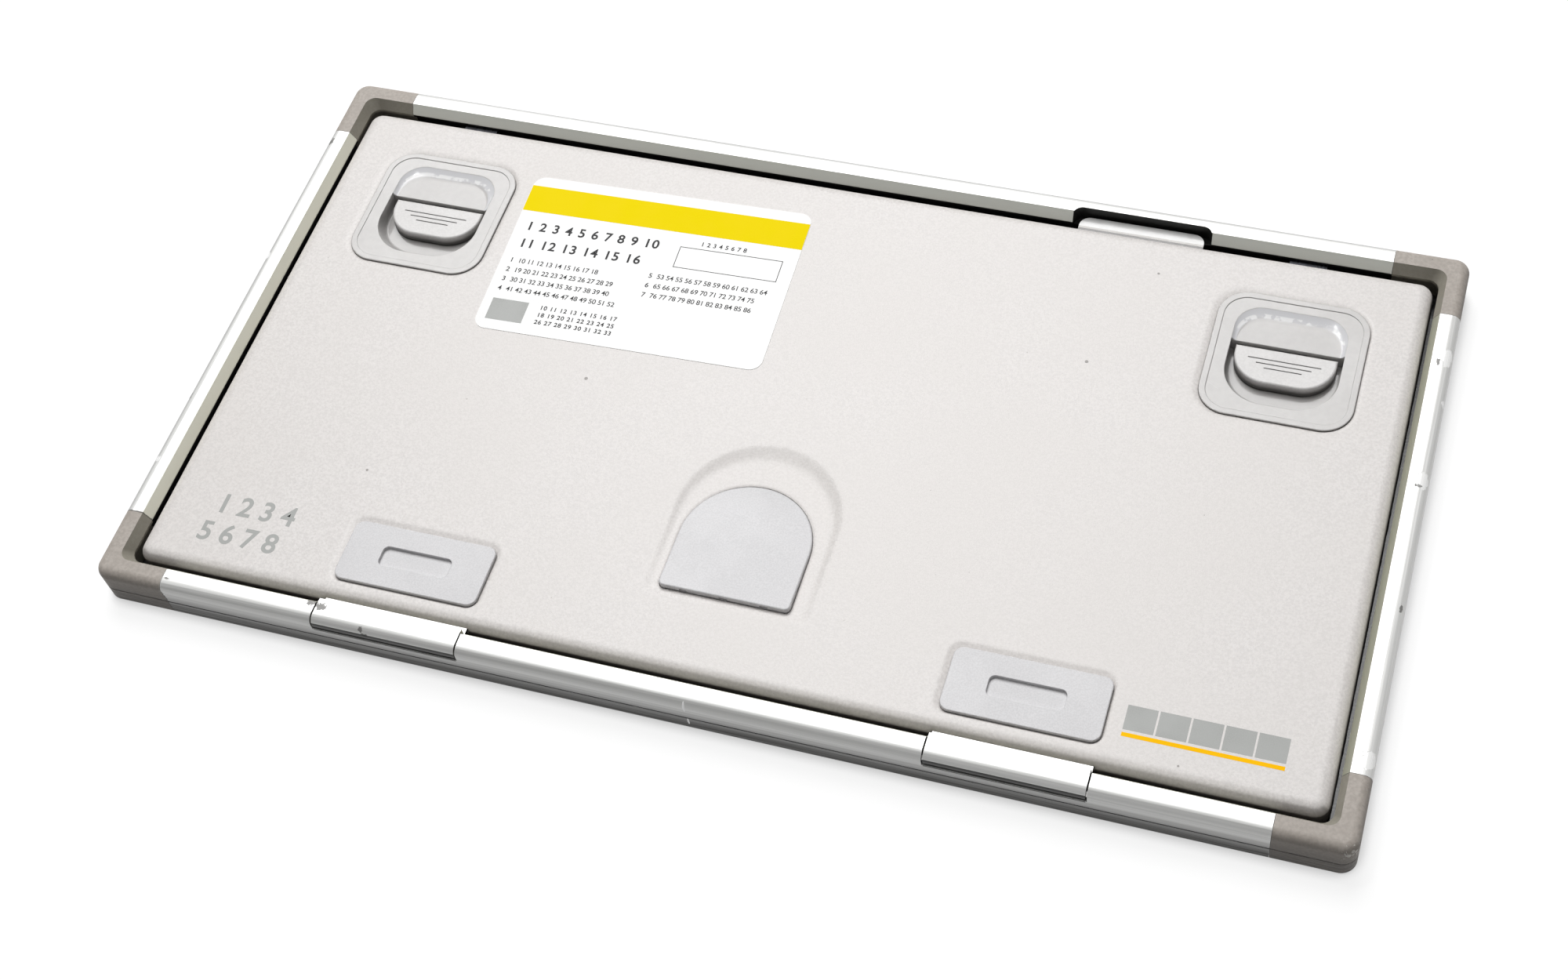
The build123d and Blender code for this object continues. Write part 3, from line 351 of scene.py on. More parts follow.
def finish(material, colour, roughness, height, depth, strength, soft_edge=0.0):
    """Links what varies. The bump's depth is a real height, and a small radius softens the edges."""
    tree = material.node_tree
    bump = add_node(tree, "ShaderNodeBump", {"Height": height, "Distance": depth, "Strength": strength})
    if soft_edge:
        softened = add_node(tree, "ShaderNodeBevel", {"Radius": soft_edge}, samples=6)
        tree.links.new(softened.outputs[0], bump.inputs["Normal"])
    sockets = tree.nodes["Principled BSDF"].inputs
    for label, value in (("Base Color", colour), ("Roughness", roughness), ("Normal", bump.outputs[0])):
        tree.links.new(value, sockets[label])
    return material


def dress(material, *names):
    """Gives CAD nodes their finish through their material slots."""
    for name in names:
        for slot in nodes[name].material_slots:
            slot.material = material


# %% [markdown]
# ## Lid enamel
# The lid is pressed sheet with a baked, warm off-white enamel. Its surface is a very fine orange
# peel, so it is satin rather than glossy, and it has collected a few specks over the years. An image
# of paint would repeat and blur, so noise gives the peel and a cell pattern gives the specks.

# %% Enamel of the lid
def make_enamel():
    material, tree = new_material("lid_enamel")
    peel = use_group(tree, grain, Scale=1500.0)
    clouds = use_group(tree, grain, Scale=28.0)
    dirt = use_group(tree, specks, Scale=85.0, Size=0.030, Share=0.20)
    dust = use_group(tree, specks, Scale=380.0, Size=0.06, Share=0.04)
    # Dirt and painted shade where the lid is shut in by its trim and the frame
    crevice_shade_and_dirt = use_group(tree, gap_dirt_and_shade, Reach=0.9 * MM, Amount=0.5)
    colour = mix_colour(tree, peel["Tone"], (0.680, 0.652, 0.634), (0.820, 0.788, 0.768))
    aged = lay(tree, colour, clouds["Tone"], (0.735, 0.700, 0.670), 0.35)
    height = height_above_floor(tree)
    # Painted shade: the lid's outer flanks darken towards the gap below them, most on the front flank
    ahead = ramp(tree, place_axes(tree)[1], lid_front + 3.2 * MM, lid_front + 2.2 * MM)
    front_flank_shade = times(tree, ahead, ramp(tree, height, FLANK_SHADE_TOP, lid_top - 0.8 * MM, 0.0, 0.47))
    low = calc(tree, "MAXIMUM", front_flank_shade, ramp(tree, height, lid_top - 1.4 * MM, FLANK_SHADE_FULL))
    flank_shade = times(tree, low, ramp(tree, outward(tree), 0.0, 12 * MM, 0.0, 0.96))
    shade_and_grime = mix_colour(tree, flank_shade, aged, (0.036, 0.028, 0.024))
    shut = mix_colour(tree, crevice_shade_and_dirt["Mask"], shade_and_grime, (0.10, 0.09, 0.08))
    dotted = lay(tree, shut, dirt["Mask"], (0.16, 0.145, 0.13), 0.8)
    final = lay(tree, dotted, dust["Mask"], (0.28, 0.26, 0.24), 0.5)
    gloss = ramp(tree, peel["Height"], 0.3, 0.7, 0.34, 0.46)
    return finish(material, final, calc(tree, "ADD", gloss, times(tree, flank_shade, 0.3)), peel["Height"],
                  depth=0.06 * MM, strength=0.6, soft_edge=1.5 * MM)


lid_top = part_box("label")[0].z
lid_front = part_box("lid_shell")[0].y
# Heights where the painted shade on the lid's flanks begins and where it is full
FLANK_SHADE_TOP = lid_top - 0.15 * MM
FLANK_SHADE_FULL = lid_top - 2.7 * MM
dress(make_enamel(), "lid_shell")
print("enamel on lid_shell")


# %% [markdown]
# ## Moulded trim
# The latch bezels, the buttons, the hinge covers and the D-shaped cap are moulded in a cooler grey
# than the lid. Bezels come from a polished mould and shine; covers and cap have a fine spark-eroded
# texture and don't. One function makes all of them, with the grain and the gloss as values.

# %% Moulded grey plastic, polished or textured
def make_trim(name, dark, light, peel_scale, peel_depth, gloss, shade_and_dirt_amount, fall, brighten=None,
              **constants):
    """The fall is (height where a wall starts to darken, height where it ends, how far, into what)."""
    material, tree = new_material(name, **constants)
    peel = use_group(tree, grain, Scale=peel_scale)
    clouds = use_group(tree, grain, Scale=60.0)
    rub = use_group(tree, scratches, Turn=0.5, Spacing=0.006, Share=0.42)
    dirt = use_group(tree, specks, Scale=160.0, Size=0.03, Share=0.06)
    # Dirt and painted shade in the gaps round the moulding
    crevice_shade_and_dirt = use_group(tree, gap_dirt_and_shade, Reach=0.7 * MM, Amount=shade_and_dirt_amount)
    start, end, most, shade = fall
    colour = mix_colour(tree, peel["Tone"], dark, light)
    marked = lay(tree, colour, rub["Mask"], (0.85, 0.85, 0.85), 0.12)
    shaded = mix_colour(tree, ramp(tree, height_above_floor(tree), start, end, 0.0, most), marked, shade)
    # Painted highlight: a pale line along the moulding's edges
    rim_highlight = use_group(tree, edge_wear_and_highlight, Width=0.3 * MM, Patch_Scale=150.0, Amount=0.55)
    highlighted = mix_colour(tree, rim_highlight["Mask"], shaded, (0.90, 0.90, 0.90))
    if brighten:
        highlighted = brighten(tree, highlighted)
    shut = mix_colour(tree, crevice_shade_and_dirt["Mask"], highlighted, (0.05, 0.048, 0.044))
    final = lay(tree, shut, dirt["Mask"], (0.2, 0.19, 0.18), 0.6)
    dull = calc(tree, "ADD", ramp(tree, clouds["Tone"], 0.0, 1.0, gloss, gloss + 0.06),
                times(tree, rub["Mask"], 0.15))
    return finish(material, final, dull, peel["Height"], peel_depth, strength=0.5, soft_edge=0.3 * MM)


def polish_scoop(tree, colour):
    """Painted light on the scoop's slopes, with a broken painted glint where they run out."""
    height = height_above_floor(tree)
    tilt = add_node(tree, "ShaderNodeSeparateXYZ",
                    {0: add_node(tree, "ShaderNodeTexCoord").outputs["Normal"]}).outputs
    hollow = times(tree, ramp(tree, height, SCOOP_FLOOR - 0.2 * MM, SCOOP_FLOOR - 0.05 * MM),
                   ramp(tree, height, bezel_face - 0.01 * MM, bezel_face - 0.12 * MM))
    slope = times(tree, ramp(tree, tilt[2], 0.999, 0.97), ramp(tree, tilt[2], 0.45, 0.7))
    lit_slopes = mix_colour(tree, times(tree, hollow, slope), colour, (0.77, 0.77, 0.79))
    band = times(tree, ramp(tree, height, SCOOP_FLOOR + 0.06 * MM, SCOOP_FLOOR + 0.16 * MM),
                 ramp(tree, height, SCOOP_FLOOR + 0.46 * MM, SCOOP_FLOOR + 0.34 * MM))
    breaks = use_group(tree, grain, Scale=170.0)
    glint = times(tree, band, ramp(tree, tilt[1], -0.05, -0.12), ramp(tree, breaks["Height"], 0.46, 0.52))
    return mix_colour(tree, glint, lit_slopes, (1.0, 1.0, 1.0))


bezel_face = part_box("latch_bezel_left")[1].z - 0.15 * MM
button_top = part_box("latch_button_left")[1].z
SCOOP_FLOOR = bezel_face - 1.0 * MM
dress(make_trim("cover_plastic", (0.635, 0.628, 0.638), (0.730, 0.722, 0.734), peel_scale=2400.0,
                peel_depth=0.04 * MM, gloss=0.40, shade_and_dirt_amount=0.2,
                fall=(lid_top, lid_top - 0.9 * MM, 0.25, (0.3, 0.3, 0.3))),
      "hinge_cover_left", "hinge_cover_right", "centre_cap")
dress(make_trim("bezel_plastic", (0.575, 0.560, 0.548), (0.605, 0.590, 0.576), peel_scale=500.0,
                peel_depth=0.012 * MM, gloss=0.11, shade_and_dirt_amount=0.85,
                fall=(bezel_face, bezel_face - 2.6 * MM, 0.42, (0.27, 0.265, 0.26)),
                brighten=polish_scoop, Specular_IOR_Level=0.32),
      "latch_bezel_left", "latch_bezel_right")
dress(make_trim("button_plastic", (0.680, 0.665, 0.655), (0.745, 0.730, 0.720), peel_scale=1600.0,
                peel_depth=0.03 * MM, gloss=0.34, shade_and_dirt_amount=0.8,
                fall=(button_top - 0.1 * MM, button_top - 2.2 * MM, 0.95, (0.03, 0.028, 0.025))),
      "latch_button_left", "latch_button_right")


# %% [markdown]
# ## Aluminium rails
# The rails are extruded and clear-anodised: bright, satin, and full of lines that run along the
# profile. Years in trays have left dark rub marks low on the walls and bright nicks on the top edge.
# The outer walls also carry painted shade, darker towards the bottom and in a band under the top
# edge, and each rail's inner wall has a tint that is partly painted shade. The lines are noise
# stretched along the rail, so a rail along X and one along Y need one material each, and every nick
# is a mark at its own place.

# %% Marks and black places that the rails share
def spread(tree, marks, colour, tint, amount, ragged, scale):
    """Lays marks at (place, reach) in mm over a colour. Gives the new colour and all marks as one mask."""
    mask = 0.0
    for place, reach in marks:
        spot = use_group(tree, mark, Place=tuple(v * MM for v in place),
                         Reach=tuple(v * MM for v in reach), Raggedness=ragged, Scale=scale)["Mask"]
        mask = calc(tree, "MAXIMUM", spot, mask)
    return mix_colour(tree, times(tree, mask, amount), colour, tint), mask


def groove_shadow(tree):
    """The decorative groove round the frame is painted black all the way, as painted shade in the groove.
    """
    off = calc(tree, "ABSOLUTE", calc(tree, "SUBTRACT", height_above_floor(tree), GROOVE))
    return times(tree, ramp(tree, off, 0.36 * MM, 0.24 * MM), ramp(tree, outward(tree), 0.0, 20 * MM))


def chamber_black(tree):
    """Below the lip the frame's inside is painted black, as painted shade in the deep gap under the lid."""
    axes = place_axes(tree)
    inset = calc(tree, "MINIMUM", calc(tree, "SUBTRACT", FRAME_EDGE[0], calc(tree, "ABSOLUTE", axes[0])),
                 calc(tree, "SUBTRACT", FRAME_EDGE[1], calc(tree, "ABSOLUTE", axes[1])))
    return times(tree, ramp(tree, inset, LIP_ROOT - 0.1 * MM, LIP_ROOT + 0.1 * MM),
                 ramp(tree, axes[2], LIP_EDGE + 0.1 * MM, LIP_EDGE - 0.1 * MM))


RAIL_TOP = cad_box[1].z
FRAME_EDGE = cad_box[1]
GROOVE = 5.03 * MM             # height of the groove's middle
LIP_ROOT = 4.8 * MM            # how far inside the frame's edge the lip leaves the wall
LIP_EDGE = 9.35 * MM           # height of the lip's lower edge


# %% Aluminium with the lines, the rub marks, the painted shade and the nicks of its rail
def make_aluminium(name, stretch, inner, wall_shade_and_dirt, nicks=(), scuffs=(), ticks=(), black=None):
    material, tree = new_material(name, Metallic=0.35)
    lines = use_group(tree, drawn_lines, Stretch=stretch)
    speckle = use_group(tree, grain, Scale=2200.0)
    wear = use_group(tree, edge_wear_and_highlight, Width=0.3 * MM, Patch_Scale=420.0, Amount=0.7)
    # Dirt and painted shade in the gaps round the rail
    crevice_shade_and_dirt = use_group(tree, gap_dirt_and_shade, Reach=1.0 * MM, Amount=0.95)
    height = height_above_floor(tree)
    colour = mix_colour(tree, lines["Tone"], (0.68, 0.68, 0.665), (0.88, 0.88, 0.865))
    inside = mix_colour(tree, ramp(tree, outward(tree), 0.0, -10 * MM), colour, inner)
    # Painted shade: the outer walls darken towards the bottom and in a band just under the top edge, with
    # rub streaks low on the wall
    low = ramp(tree, height, WALL_SHADE_TOP, WALL_SHADE_FULL)
    outer = ramp(tree, outward(tree), -2 * MM, 8 * MM)
    shoulder_shade = times(tree, ramp(tree, height, RAIL_TOP - 0.05 * MM, RAIL_TOP - 0.4 * MM),
                     ramp(tree, height, RAIL_TOP - 1.6 * MM, RAIL_TOP - 0.8 * MM, 0.02, 0.36))
    wall_shade_and_grime = calc(tree, "MAXIMUM", shoulder_shade,
                 times(tree, low, ramp(tree, lines["Height"], 0.35, 0.6, 0.82, 1.0)))
    streaks = times(tree, ramp(tree, lines["Height"], 0.58, 0.64), low)
    wall_shade_and_grime = times(tree, calc(tree, "MAXIMUM", wall_shade_and_grime, streaks), times(tree, outer, wall_shade_and_dirt))
    dirt_and_shade = mix_colour(tree, wall_shade_and_grime, inside, (0.055, 0.053, 0.05))
    bright = mix_colour(tree, wear["Mask"], dirt_and_shade, (0.88, 0.88, 0.87))
    nicked, dents = spread(tree, nicks, bright, (0.97, 0.97, 0.96), 1.0, 1.1, 700.0)
    scuffed, smears = spread(tree, scuffs, nicked, (0.10, 0.095, 0.09), 0.8, 2.4, 1500.0)
    ticked = spread(tree, ticks, scuffed, (0.95, 0.95, 0.95), 1.0, 0.5, 1500.0)[0]
    grooved = mix_colour(tree, groove_shadow(tree), ticked, (0.012, 0.012, 0.012))
    shut = mix_colour(tree, crevice_shade_and_dirt["Mask"], grooved, (0.03, 0.03, 0.03))
    chamber_shaded = mix_colour(tree, chamber_black(tree), shut, (0.016, 0.016, 0.016))
    final = mix_colour(tree, black(tree), chamber_shaded, (0.012, 0.012, 0.011)) if black else chamber_shaded
    roughness = calc(tree, "ADD", ramp(tree, lines["Height"], 0.3, 0.7, 0.30, 0.44),
                     times(tree, calc(tree, "MAXIMUM", wall_shade_and_grime, smears), 0.2))
    bump_height = calc(tree, "ADD", lines["Height"], times(tree, speckle["Height"], 0.35))
    return finish(material, final, calc(tree, "SUBTRACT", roughness, times(tree, dents, 0.12)),
                  calc(tree, "SUBTRACT", bump_height, times(tree, dents, 6.0)),
                  depth=0.012 * MM, strength=0.6, soft_edge=0.15 * MM)


# %% Black places of single rails
def notch_black(tree):
    """Colours the thumb notch black inside, round the white tab."""
    axes = place_axes(tree)
    along = ramp(tree, calc(tree, "ABSOLUTE", calc(tree, "SUBTRACT", axes[0], NOTCH_MIDDLE)),
                 NOTCH_HALF + 0.15 * MM, NOTCH_HALF + 0.05 * MM)
    deep = times(tree, ramp(tree, axes[1], NOTCH_BACK + 0.1 * MM, NOTCH_BACK + 0.02 * MM),
                 ramp(tree, axes[2], RAIL_TOP - 0.05 * MM, RAIL_TOP - 0.2 * MM))
    return times(tree, along, deep)


def knuckle_shadow(tree):
    """Just under each knuckle the front rail's wall is black too."""
    axes = place_axes(tree)
    middle = (knuckle_high.x + knuckle_low.x) / 2
    half = (knuckle_high.x - knuckle_low.x) / 2
    off = calc(tree, "ABSOLUTE", calc(tree, "SUBTRACT", calc(tree, "ABSOLUTE", axes[0]), middle))
    along = ramp(tree, off, half + 0.1 * MM, half)
    band = times(tree, ramp(tree, axes[2], KNUCKLE_FOOT - 0.75 * MM, KNUCKLE_FOOT - 0.6 * MM),
                 ramp(tree, axes[2], KNUCKLE_FOOT + 2.0 * MM, KNUCKLE_FOOT + 1.9 * MM))
    return times(tree, along, band, ramp(tree, outward(tree), 0.0, 5 * MM))


def hinge_shadow(tree):
    """Below its widest line a knuckle's front is painted black, as painted shade over the slot beneath it.
    """
    low = ramp(tree, height_above_floor(tree), BARREL_LINE + 0.1 * MM, BARREL_LINE)
    return times(tree, low, ramp(tree, outward(tree), 0.0, 12 * MM))


pin_low, pin_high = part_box("hinge_pin_left")
BARREL_LINE = pin_high.z + 0.35 * MM
KNUCKLE_FOOT = pin_low.z - 0.55 * MM
knuckle_low, knuckle_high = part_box("hinge_knuckle_right")
tab_low, tab_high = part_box("lift_tab")
NOTCH_MIDDLE = (tab_low.x + tab_high.x) / 2
NOTCH_HALF = 19.1 * MM
NOTCH_BACK = 83.8 * MM

# %% Rails, knuckles and pressure plate: marks are (place, reach) in mm
# Heights where the painted shade on the outer walls begins and where it is full
WALL_SHADE_TOP = 10.2 * MM
WALL_SHADE_FULL = 1.5 * MM
ALONG_X = (18.0, 3200.0, 3200.0)
ALONG_Y = (3200.0, 18.0, 3200.0)
# Inner walls: the metal's yellowish tint, greyer on the back rail and darker on the right as painted shade
PALE_INNER = (0.78, 0.77, 0.66)
GREY_INNER = (0.60, 0.61, 0.56)
OLIVE_INNER = (0.50, 0.50, 0.40)
RIGHT_NICKS = (((160.9, 54.0, 12.1), (1.9, 2.9, 1.6)), ((160.6, 15.2, 12.1), (1.9, 2.6, 1.6)),
               ((160.7, -63.6, 12.1), (2.1, 2.8, 1.6)), ((161.9, 40.0, 11.2), (0.8, 1.2, 1.0)))
LEFT_NICKS = (((-161.4, 20.0, 11.7), (0.9, 1.4, 1.0)), ((-160.9, -51.0, 12.1), (0.8, 1.0, 1.0)))
LEFT_SCUFFS = (((-161.1, 63.4, 12.2), (0.8, 1.5, 1.0)), ((-161.6, -30.0, 11.4), (0.5, 1.2, 1.0)),
               ((-159.0, -67.7, 11.0), (6.0, 0.22, 5.0)))
RIGHT_SCUFFS = (((158.8, 52.2, 12.5), (0.5, 1.1, 1.0)), ((160.1, 13.4, 12.5), (1.3, 0.5, 1.0)),
                ((161.4, -22.0, 12.0), (0.4, 1.2, 1.0)))
FRONT_SCUFFS = (((-141.9, -84.7, 12.4), (0.9, 0.3, 0.6)), ((-101.3, -82.6, 12.5), (1.2, 0.8, 0.8)),
                ((-142.7, -87.5, 5.2), (0.3, 2.0, 4.6)), ((62.5, -85.8, 11.8), (0.8, 0.5, 0.6)))
FRONT_TICKS = (((0.4, -87.3, 10.3), (0.35, 1.3, 2.2)), ((0.6, -87.5, 3.4), (0.3, 0.5, 1.6)))
KNUCKLE_SCUFFS = (((-98.6, -83.0, 12.5), (1.8, 1.2, 0.8)), ((-86.0, -86.4, 11.7), (0.7, 1.0, 0.8)),
                  ((-84.8, -87.2, 10.8), (0.9, 0.7, 0.6)))
# The walls' painted shade is set per rail, and is slight on the right rail, whose outer wall is the lit one
dress(make_aluminium("front_rail_aluminium", ALONG_X, PALE_INNER, wall_shade_and_dirt=1.0,
                     scuffs=FRONT_SCUFFS, ticks=FRONT_TICKS, black=knuckle_shadow), "front_rail")
dress(make_aluminium("back_rail_aluminium", ALONG_X, GREY_INNER, wall_shade_and_dirt=0.8, black=notch_black),
      "back_rail")
dress(make_aluminium("left_rail_aluminium", ALONG_Y, PALE_INNER, wall_shade_and_dirt=0.8,
                     nicks=LEFT_NICKS, scuffs=LEFT_SCUFFS), "left_rail")
dress(make_aluminium("right_rail_aluminium", ALONG_Y, OLIVE_INNER, wall_shade_and_dirt=0.12,
                     nicks=RIGHT_NICKS, scuffs=RIGHT_SCUFFS), "right_rail")
dress(make_aluminium("knuckle_aluminium", ALONG_X, PALE_INNER, wall_shade_and_dirt=0.9,
                     scuffs=KNUCKLE_SCUFFS, black=hinge_shadow),
      "hinge_knuckle_left", "hinge_knuckle_right", "hinge_rivets")
dress(make_aluminium("plate_aluminium", ALONG_X, PALE_INNER, wall_shade_and_dirt=0.0), "pressure_plate")


# %% [markdown]
# ## Plastic corners
# The corner blocks are a taupe, glass-filled plastic with a dry matt surface. They take the knocks
# when the cassette is dropped, so their outer edges are rubbed pale and one corner is pitted. Edge
# wear finds the edges by itself, and a mark with a rough bump makes the pitted corner.

# %% Taupe corner plastic
def make_corner_plastic():
    material, tree = new_material("corner_plastic")
    peel = use_group(tree, grain, Scale=1100.0)
    clouds = use_group(tree, grain, Scale=120.0)
    wear = use_group(tree, edge_wear_and_highlight, Width=0.5 * MM, Patch_Scale=520.0, Amount=0.8)
    rub = use_group(tree, scratches, Turn=0.1, Spacing=0.0022, Share=0.45)
    slides = use_group(tree, drawn_lines, Stretch=(55.0, 55.0, 1500.0))
    holes = use_group(tree, specks, Scale=900.0, Size=0.60, Share=0.50)
    dirt = use_group(tree, specks, Scale=210.0, Size=0.05, Share=0.14)
    colour = mix_colour(tree, peel["Tone"], (0.385, 0.345, 0.308), (0.500, 0.455, 0.412))
    mottled = lay(tree, colour, clouds["Tone"], (0.380, 0.340, 0.302), 0.4)
    worn = lay(tree, mottled, wear["Mask"], (0.58, 0.55, 0.51), 0.6)
    marked = lay(tree, worn, rub["Mask"], (0.22, 0.20, 0.18), 0.25)
    # Painted shade: the outer walls darken towards the bottom, a quarter more on the right-hand corners,
    # with vertical streaks
    wall_shade = times(tree, ramp(tree, height_above_floor(tree), 11.6 * MM, 1.0 * MM),
                 ramp(tree, outward(tree), 0.0, 30 * MM))
    wall_shade = calc(tree, "MULTIPLY", wall_shade, ramp(tree, place_axes(tree)[0], -100 * MM, 100 * MM, 1.0, 1.25),
                clamp=True)
    streaky = times(tree, wall_shade, ramp(tree, slides["Height"], 0.35, 0.62, 0.55, 0.95))
    shade_and_grime = mix_colour(tree, streaky, marked, (0.085, 0.076, 0.068))
    inside = mix_colour(tree, ramp(tree, outward(tree), 0.0, -10 * MM, 0.0, 0.7), shade_and_grime,
                        (0.25, 0.24, 0.19))
    grooved = mix_colour(tree, groove_shadow(tree), inside, (0.012, 0.012, 0.012))
    chipped, pits = spread(tree, PITTED, grooved, (0.30, 0.26, 0.22), 0.35, 2.2, 1300.0)
    pitted = times(tree, pits, holes["Mask"])
    flaked = mix_colour(tree, pitted, chipped, (0.98, 0.95, 0.88))
    final = lay(tree, flaked, dirt["Mask"], (0.08, 0.075, 0.07), 0.7)
    height = calc(tree, "SUBTRACT", peel["Height"], times(tree, pitted, 4.0))
    return finish(material, final, ramp(tree, peel["Height"], 0.3, 0.7, 0.50, 0.64), height,
                  depth=0.05 * MM, strength=0.8)


PITTED = (((161.0, -86.2, 9.6), (3.0, 2.6, 2.6)),)
dress(make_corner_plastic(), "corner_front_left", "corner_front_right", "corner_back_left",
      "corner_back_right")


# %% [markdown]
# ## Small hard pieces
# The lift tab is a glossy white tongue. Pins, springs and screws are zinc-plated steel with short
# brush marks, and the latch bolts are the same steel, much darker. The lead sheet is dull and blotchy.

# %% Tab, steel and lead
def make_plain(name, dark, light, scale, gloss, depth, **constants):
    """Finish with one grain: two tones, a gloss and a shallow bump."""
    material, tree = new_material(name, **constants)
    texture = use_group(tree, grain, Scale=scale)
    return finish(material, mix_colour(tree, texture["Tone"], dark, light),
                  ramp(tree, texture["Height"], 0.3, 0.7, gloss, gloss + 0.1), texture["Height"],
                  depth, strength=0.6)


def make_tab():
    """White tongue, with a painted grey shadow and a dark painted line where the lid's back edge lies over
    it.
    """
    material, tree = new_material("tab_plastic")
    texture = use_group(tree, grain, Scale=350.0)
    along = place_axes(tree)[1]
    colour = mix_colour(tree, texture["Tone"], (0.69, 0.69, 0.68), (0.745, 0.745, 0.735))
    # Painted shadow of the lid's back edge across the tab, and a darker painted line at the edge itself
    lid_edge_shadow = ramp(tree, along, TAB_SHOWS + 1.2 * MM, TAB_SHOWS + 0.8 * MM)
    marked = mix_colour(tree, lid_edge_shadow, colour, (0.42, 0.40, 0.38))
    edge = ramp(tree, along, TAB_SHOWS + 0.45 * MM, TAB_SHOWS + 0.25 * MM)
    return finish(material, mix_colour(tree, edge, marked, (0.06, 0.055, 0.05)),
                  ramp(tree, texture["Height"], 0.3, 0.7, 0.15, 0.25), texture["Height"],
                  depth=0.01 * MM, strength=0.6)


def make_steel(name, dark, light):
    material, tree = new_material(name, Metallic=1.0)
    brush = use_group(tree, drawn_lines, Stretch=(1500.0, 120.0, 1500.0))
    cloud = use_group(tree, grain, Scale=420.0)
    colour = mix_colour(tree, cloud["Tone"], dark, light)
    return finish(material, colour, ramp(tree, brush["Height"], 0.3, 0.7, 0.24, 0.40), brush["Height"],
                  depth=0.01 * MM, strength=0.6)


TAB_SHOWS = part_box("lid_shell")[1].y
dress(make_tab(), "lift_tab")
dress(make_plain("lead_grey", (0.17, 0.18, 0.20), (0.27, 0.28, 0.30), scale=260.0, gloss=0.55,
                 depth=0.03 * MM, Metallic=1.0), "lead_sheet")
dress(make_plain("screen_white", (0.80, 0.815, 0.80), (0.84, 0.85, 0.84), scale=2400.0, gloss=0.28,
                 depth=0.008 * MM), "front_screen", "rear_screen")
dress(make_steel("zinc_steel", (0.50, 0.50, 0.50), (0.66, 0.655, 0.63)), "hinge_pin_left",
      "hinge_pin_right", "latch_spring_left", "latch_spring_right", "plate_screws", "centre_screw")
dress(make_steel("dark_steel", (0.030, 0.031, 0.035), (0.060, 0.062, 0.070)),
      "latch_bolt_left", "latch_bolt_right")


# %% [markdown]
# ## Front panel
# The tube side is a thin sheet of woven fibre in dark resin, because x-rays pass through it almost
# unhindered. A twill is made with whole-number steps: a strand lies on top where the sum of its row
# and column falls in the first half of four. Each strand is round across its width.

# %% Twill of the front panel
STRAND = 1.1 * MM


def build_twill():
    group, given, made = new_group("twill", [("Strand", STRAND)], ["Over", "Height"])
    axes = place_axes(group)
    column = calc(group, "DIVIDE", axes[0], given["Strand"])
    row = calc(group, "DIVIDE", axes[1], given["Strand"])
    steps = calc(group, "SUBTRACT", calc(group, "FLOOR", column), calc(group, "FLOOR", row))
    over = calc(group, "LESS_THAN", calc(group, "FLOORED_MODULO", steps, 4.0), 1.5)
    hump = [calc(group, "SINE", times(group, calc(group, "FRACT", axis), math.pi))
            for axis in (column, row)]
    chosen = add_node(group, "ShaderNodeMix", data_type="FLOAT")
    for index, value in ((0, over), (2, hump[1]), (3, hump[0])):
        group.links.new(value, chosen.inputs[index])
    group.links.new(over, made["Over"])
    group.links.new(chosen.outputs[0], made["Height"])
    return group


def make_panel():
    material, tree = new_material("woven_panel", Coat_Weight=0.5, Coat_Roughness=0.12)
    weave = use_group(tree, build_twill(), Strand=STRAND)
    fibres = use_group(tree, grain, Scale=3500.0)
    rub = use_group(tree, scratches, Turn=0.9, Spacing=0.009, Share=0.4)
    colour = mix_colour(tree, weave["Over"], (0.022, 0.022, 0.024), (0.050, 0.050, 0.053))
    fibred = lay(tree, colour, fibres["Tone"], (0.030, 0.030, 0.032), 0.4)
    final = lay(tree, fibred, rub["Mask"], (0.25, 0.25, 0.25), 0.3)
    return finish(material, final, ramp(tree, weave["Height"], 0.0, 1.0, 0.55, 0.35), weave["Height"],
                  depth=0.03 * MM, strength=0.5)


dress(make_panel(), "front_panel")
print("dressed CAD nodes with", len(bpy.data.materials), "materials")


# %% [markdown]
# ## Light seal
# A black plush strip runs round the front panel, close under the lid's edge, and swallows the light
# that finds its way there. A plain block would look like rubber. Here a block is cut into short
# steps, its long edges are rounded, and each point is moved by noise, which gives the lumpy top of a
# pile fabric.

# %% Make soft strips and slabs from a box
def soft_block(name, low, high, step, radius, lump, lump_scale):
    """Rounded block inside the box low-high, with its surface pushed inwards by noise."""
    mesh = bmesh.new()
    bmesh.ops.create_cube(mesh, size=1.0)
    centre, size = (low + high) / 2, high - low
    for vertex in mesh.verts:
        vertex.co = Vector(vertex.co[i] * size[i] + centre[i] for i in range(3))
    bmesh.ops.bevel(mesh, geom=mesh.edges[:], offset=radius, segments=3, profile=0.5, affect="EDGES")
    for axis in range(2):
        cuts = int(size[axis] / step)
        for i in range(1, cuts):
            plane = Vector((0, 0, 0))
            plane[axis] = 1.0
            point = low.copy()
            point[axis] = low[axis] + size[axis] * i / cuts
            everything = mesh.verts[:] + mesh.edges[:] + mesh.faces[:]
            bmesh.ops.bisect_plane(mesh, geom=everything, plane_co=point, plane_no=plane)
    mesh.normal_update()
    moved = [(v, v.normal * lump * (0.5 + 0.5 * noise.noise(v.co * lump_scale))) for v in mesh.verts]
    for vertex, push in moved:
        vertex.co -= push
    piece = mesh_object(name, mesh)
    piece.data.polygons.foreach_set("use_smooth", [True] * len(piece.data.polygons))
    return piece


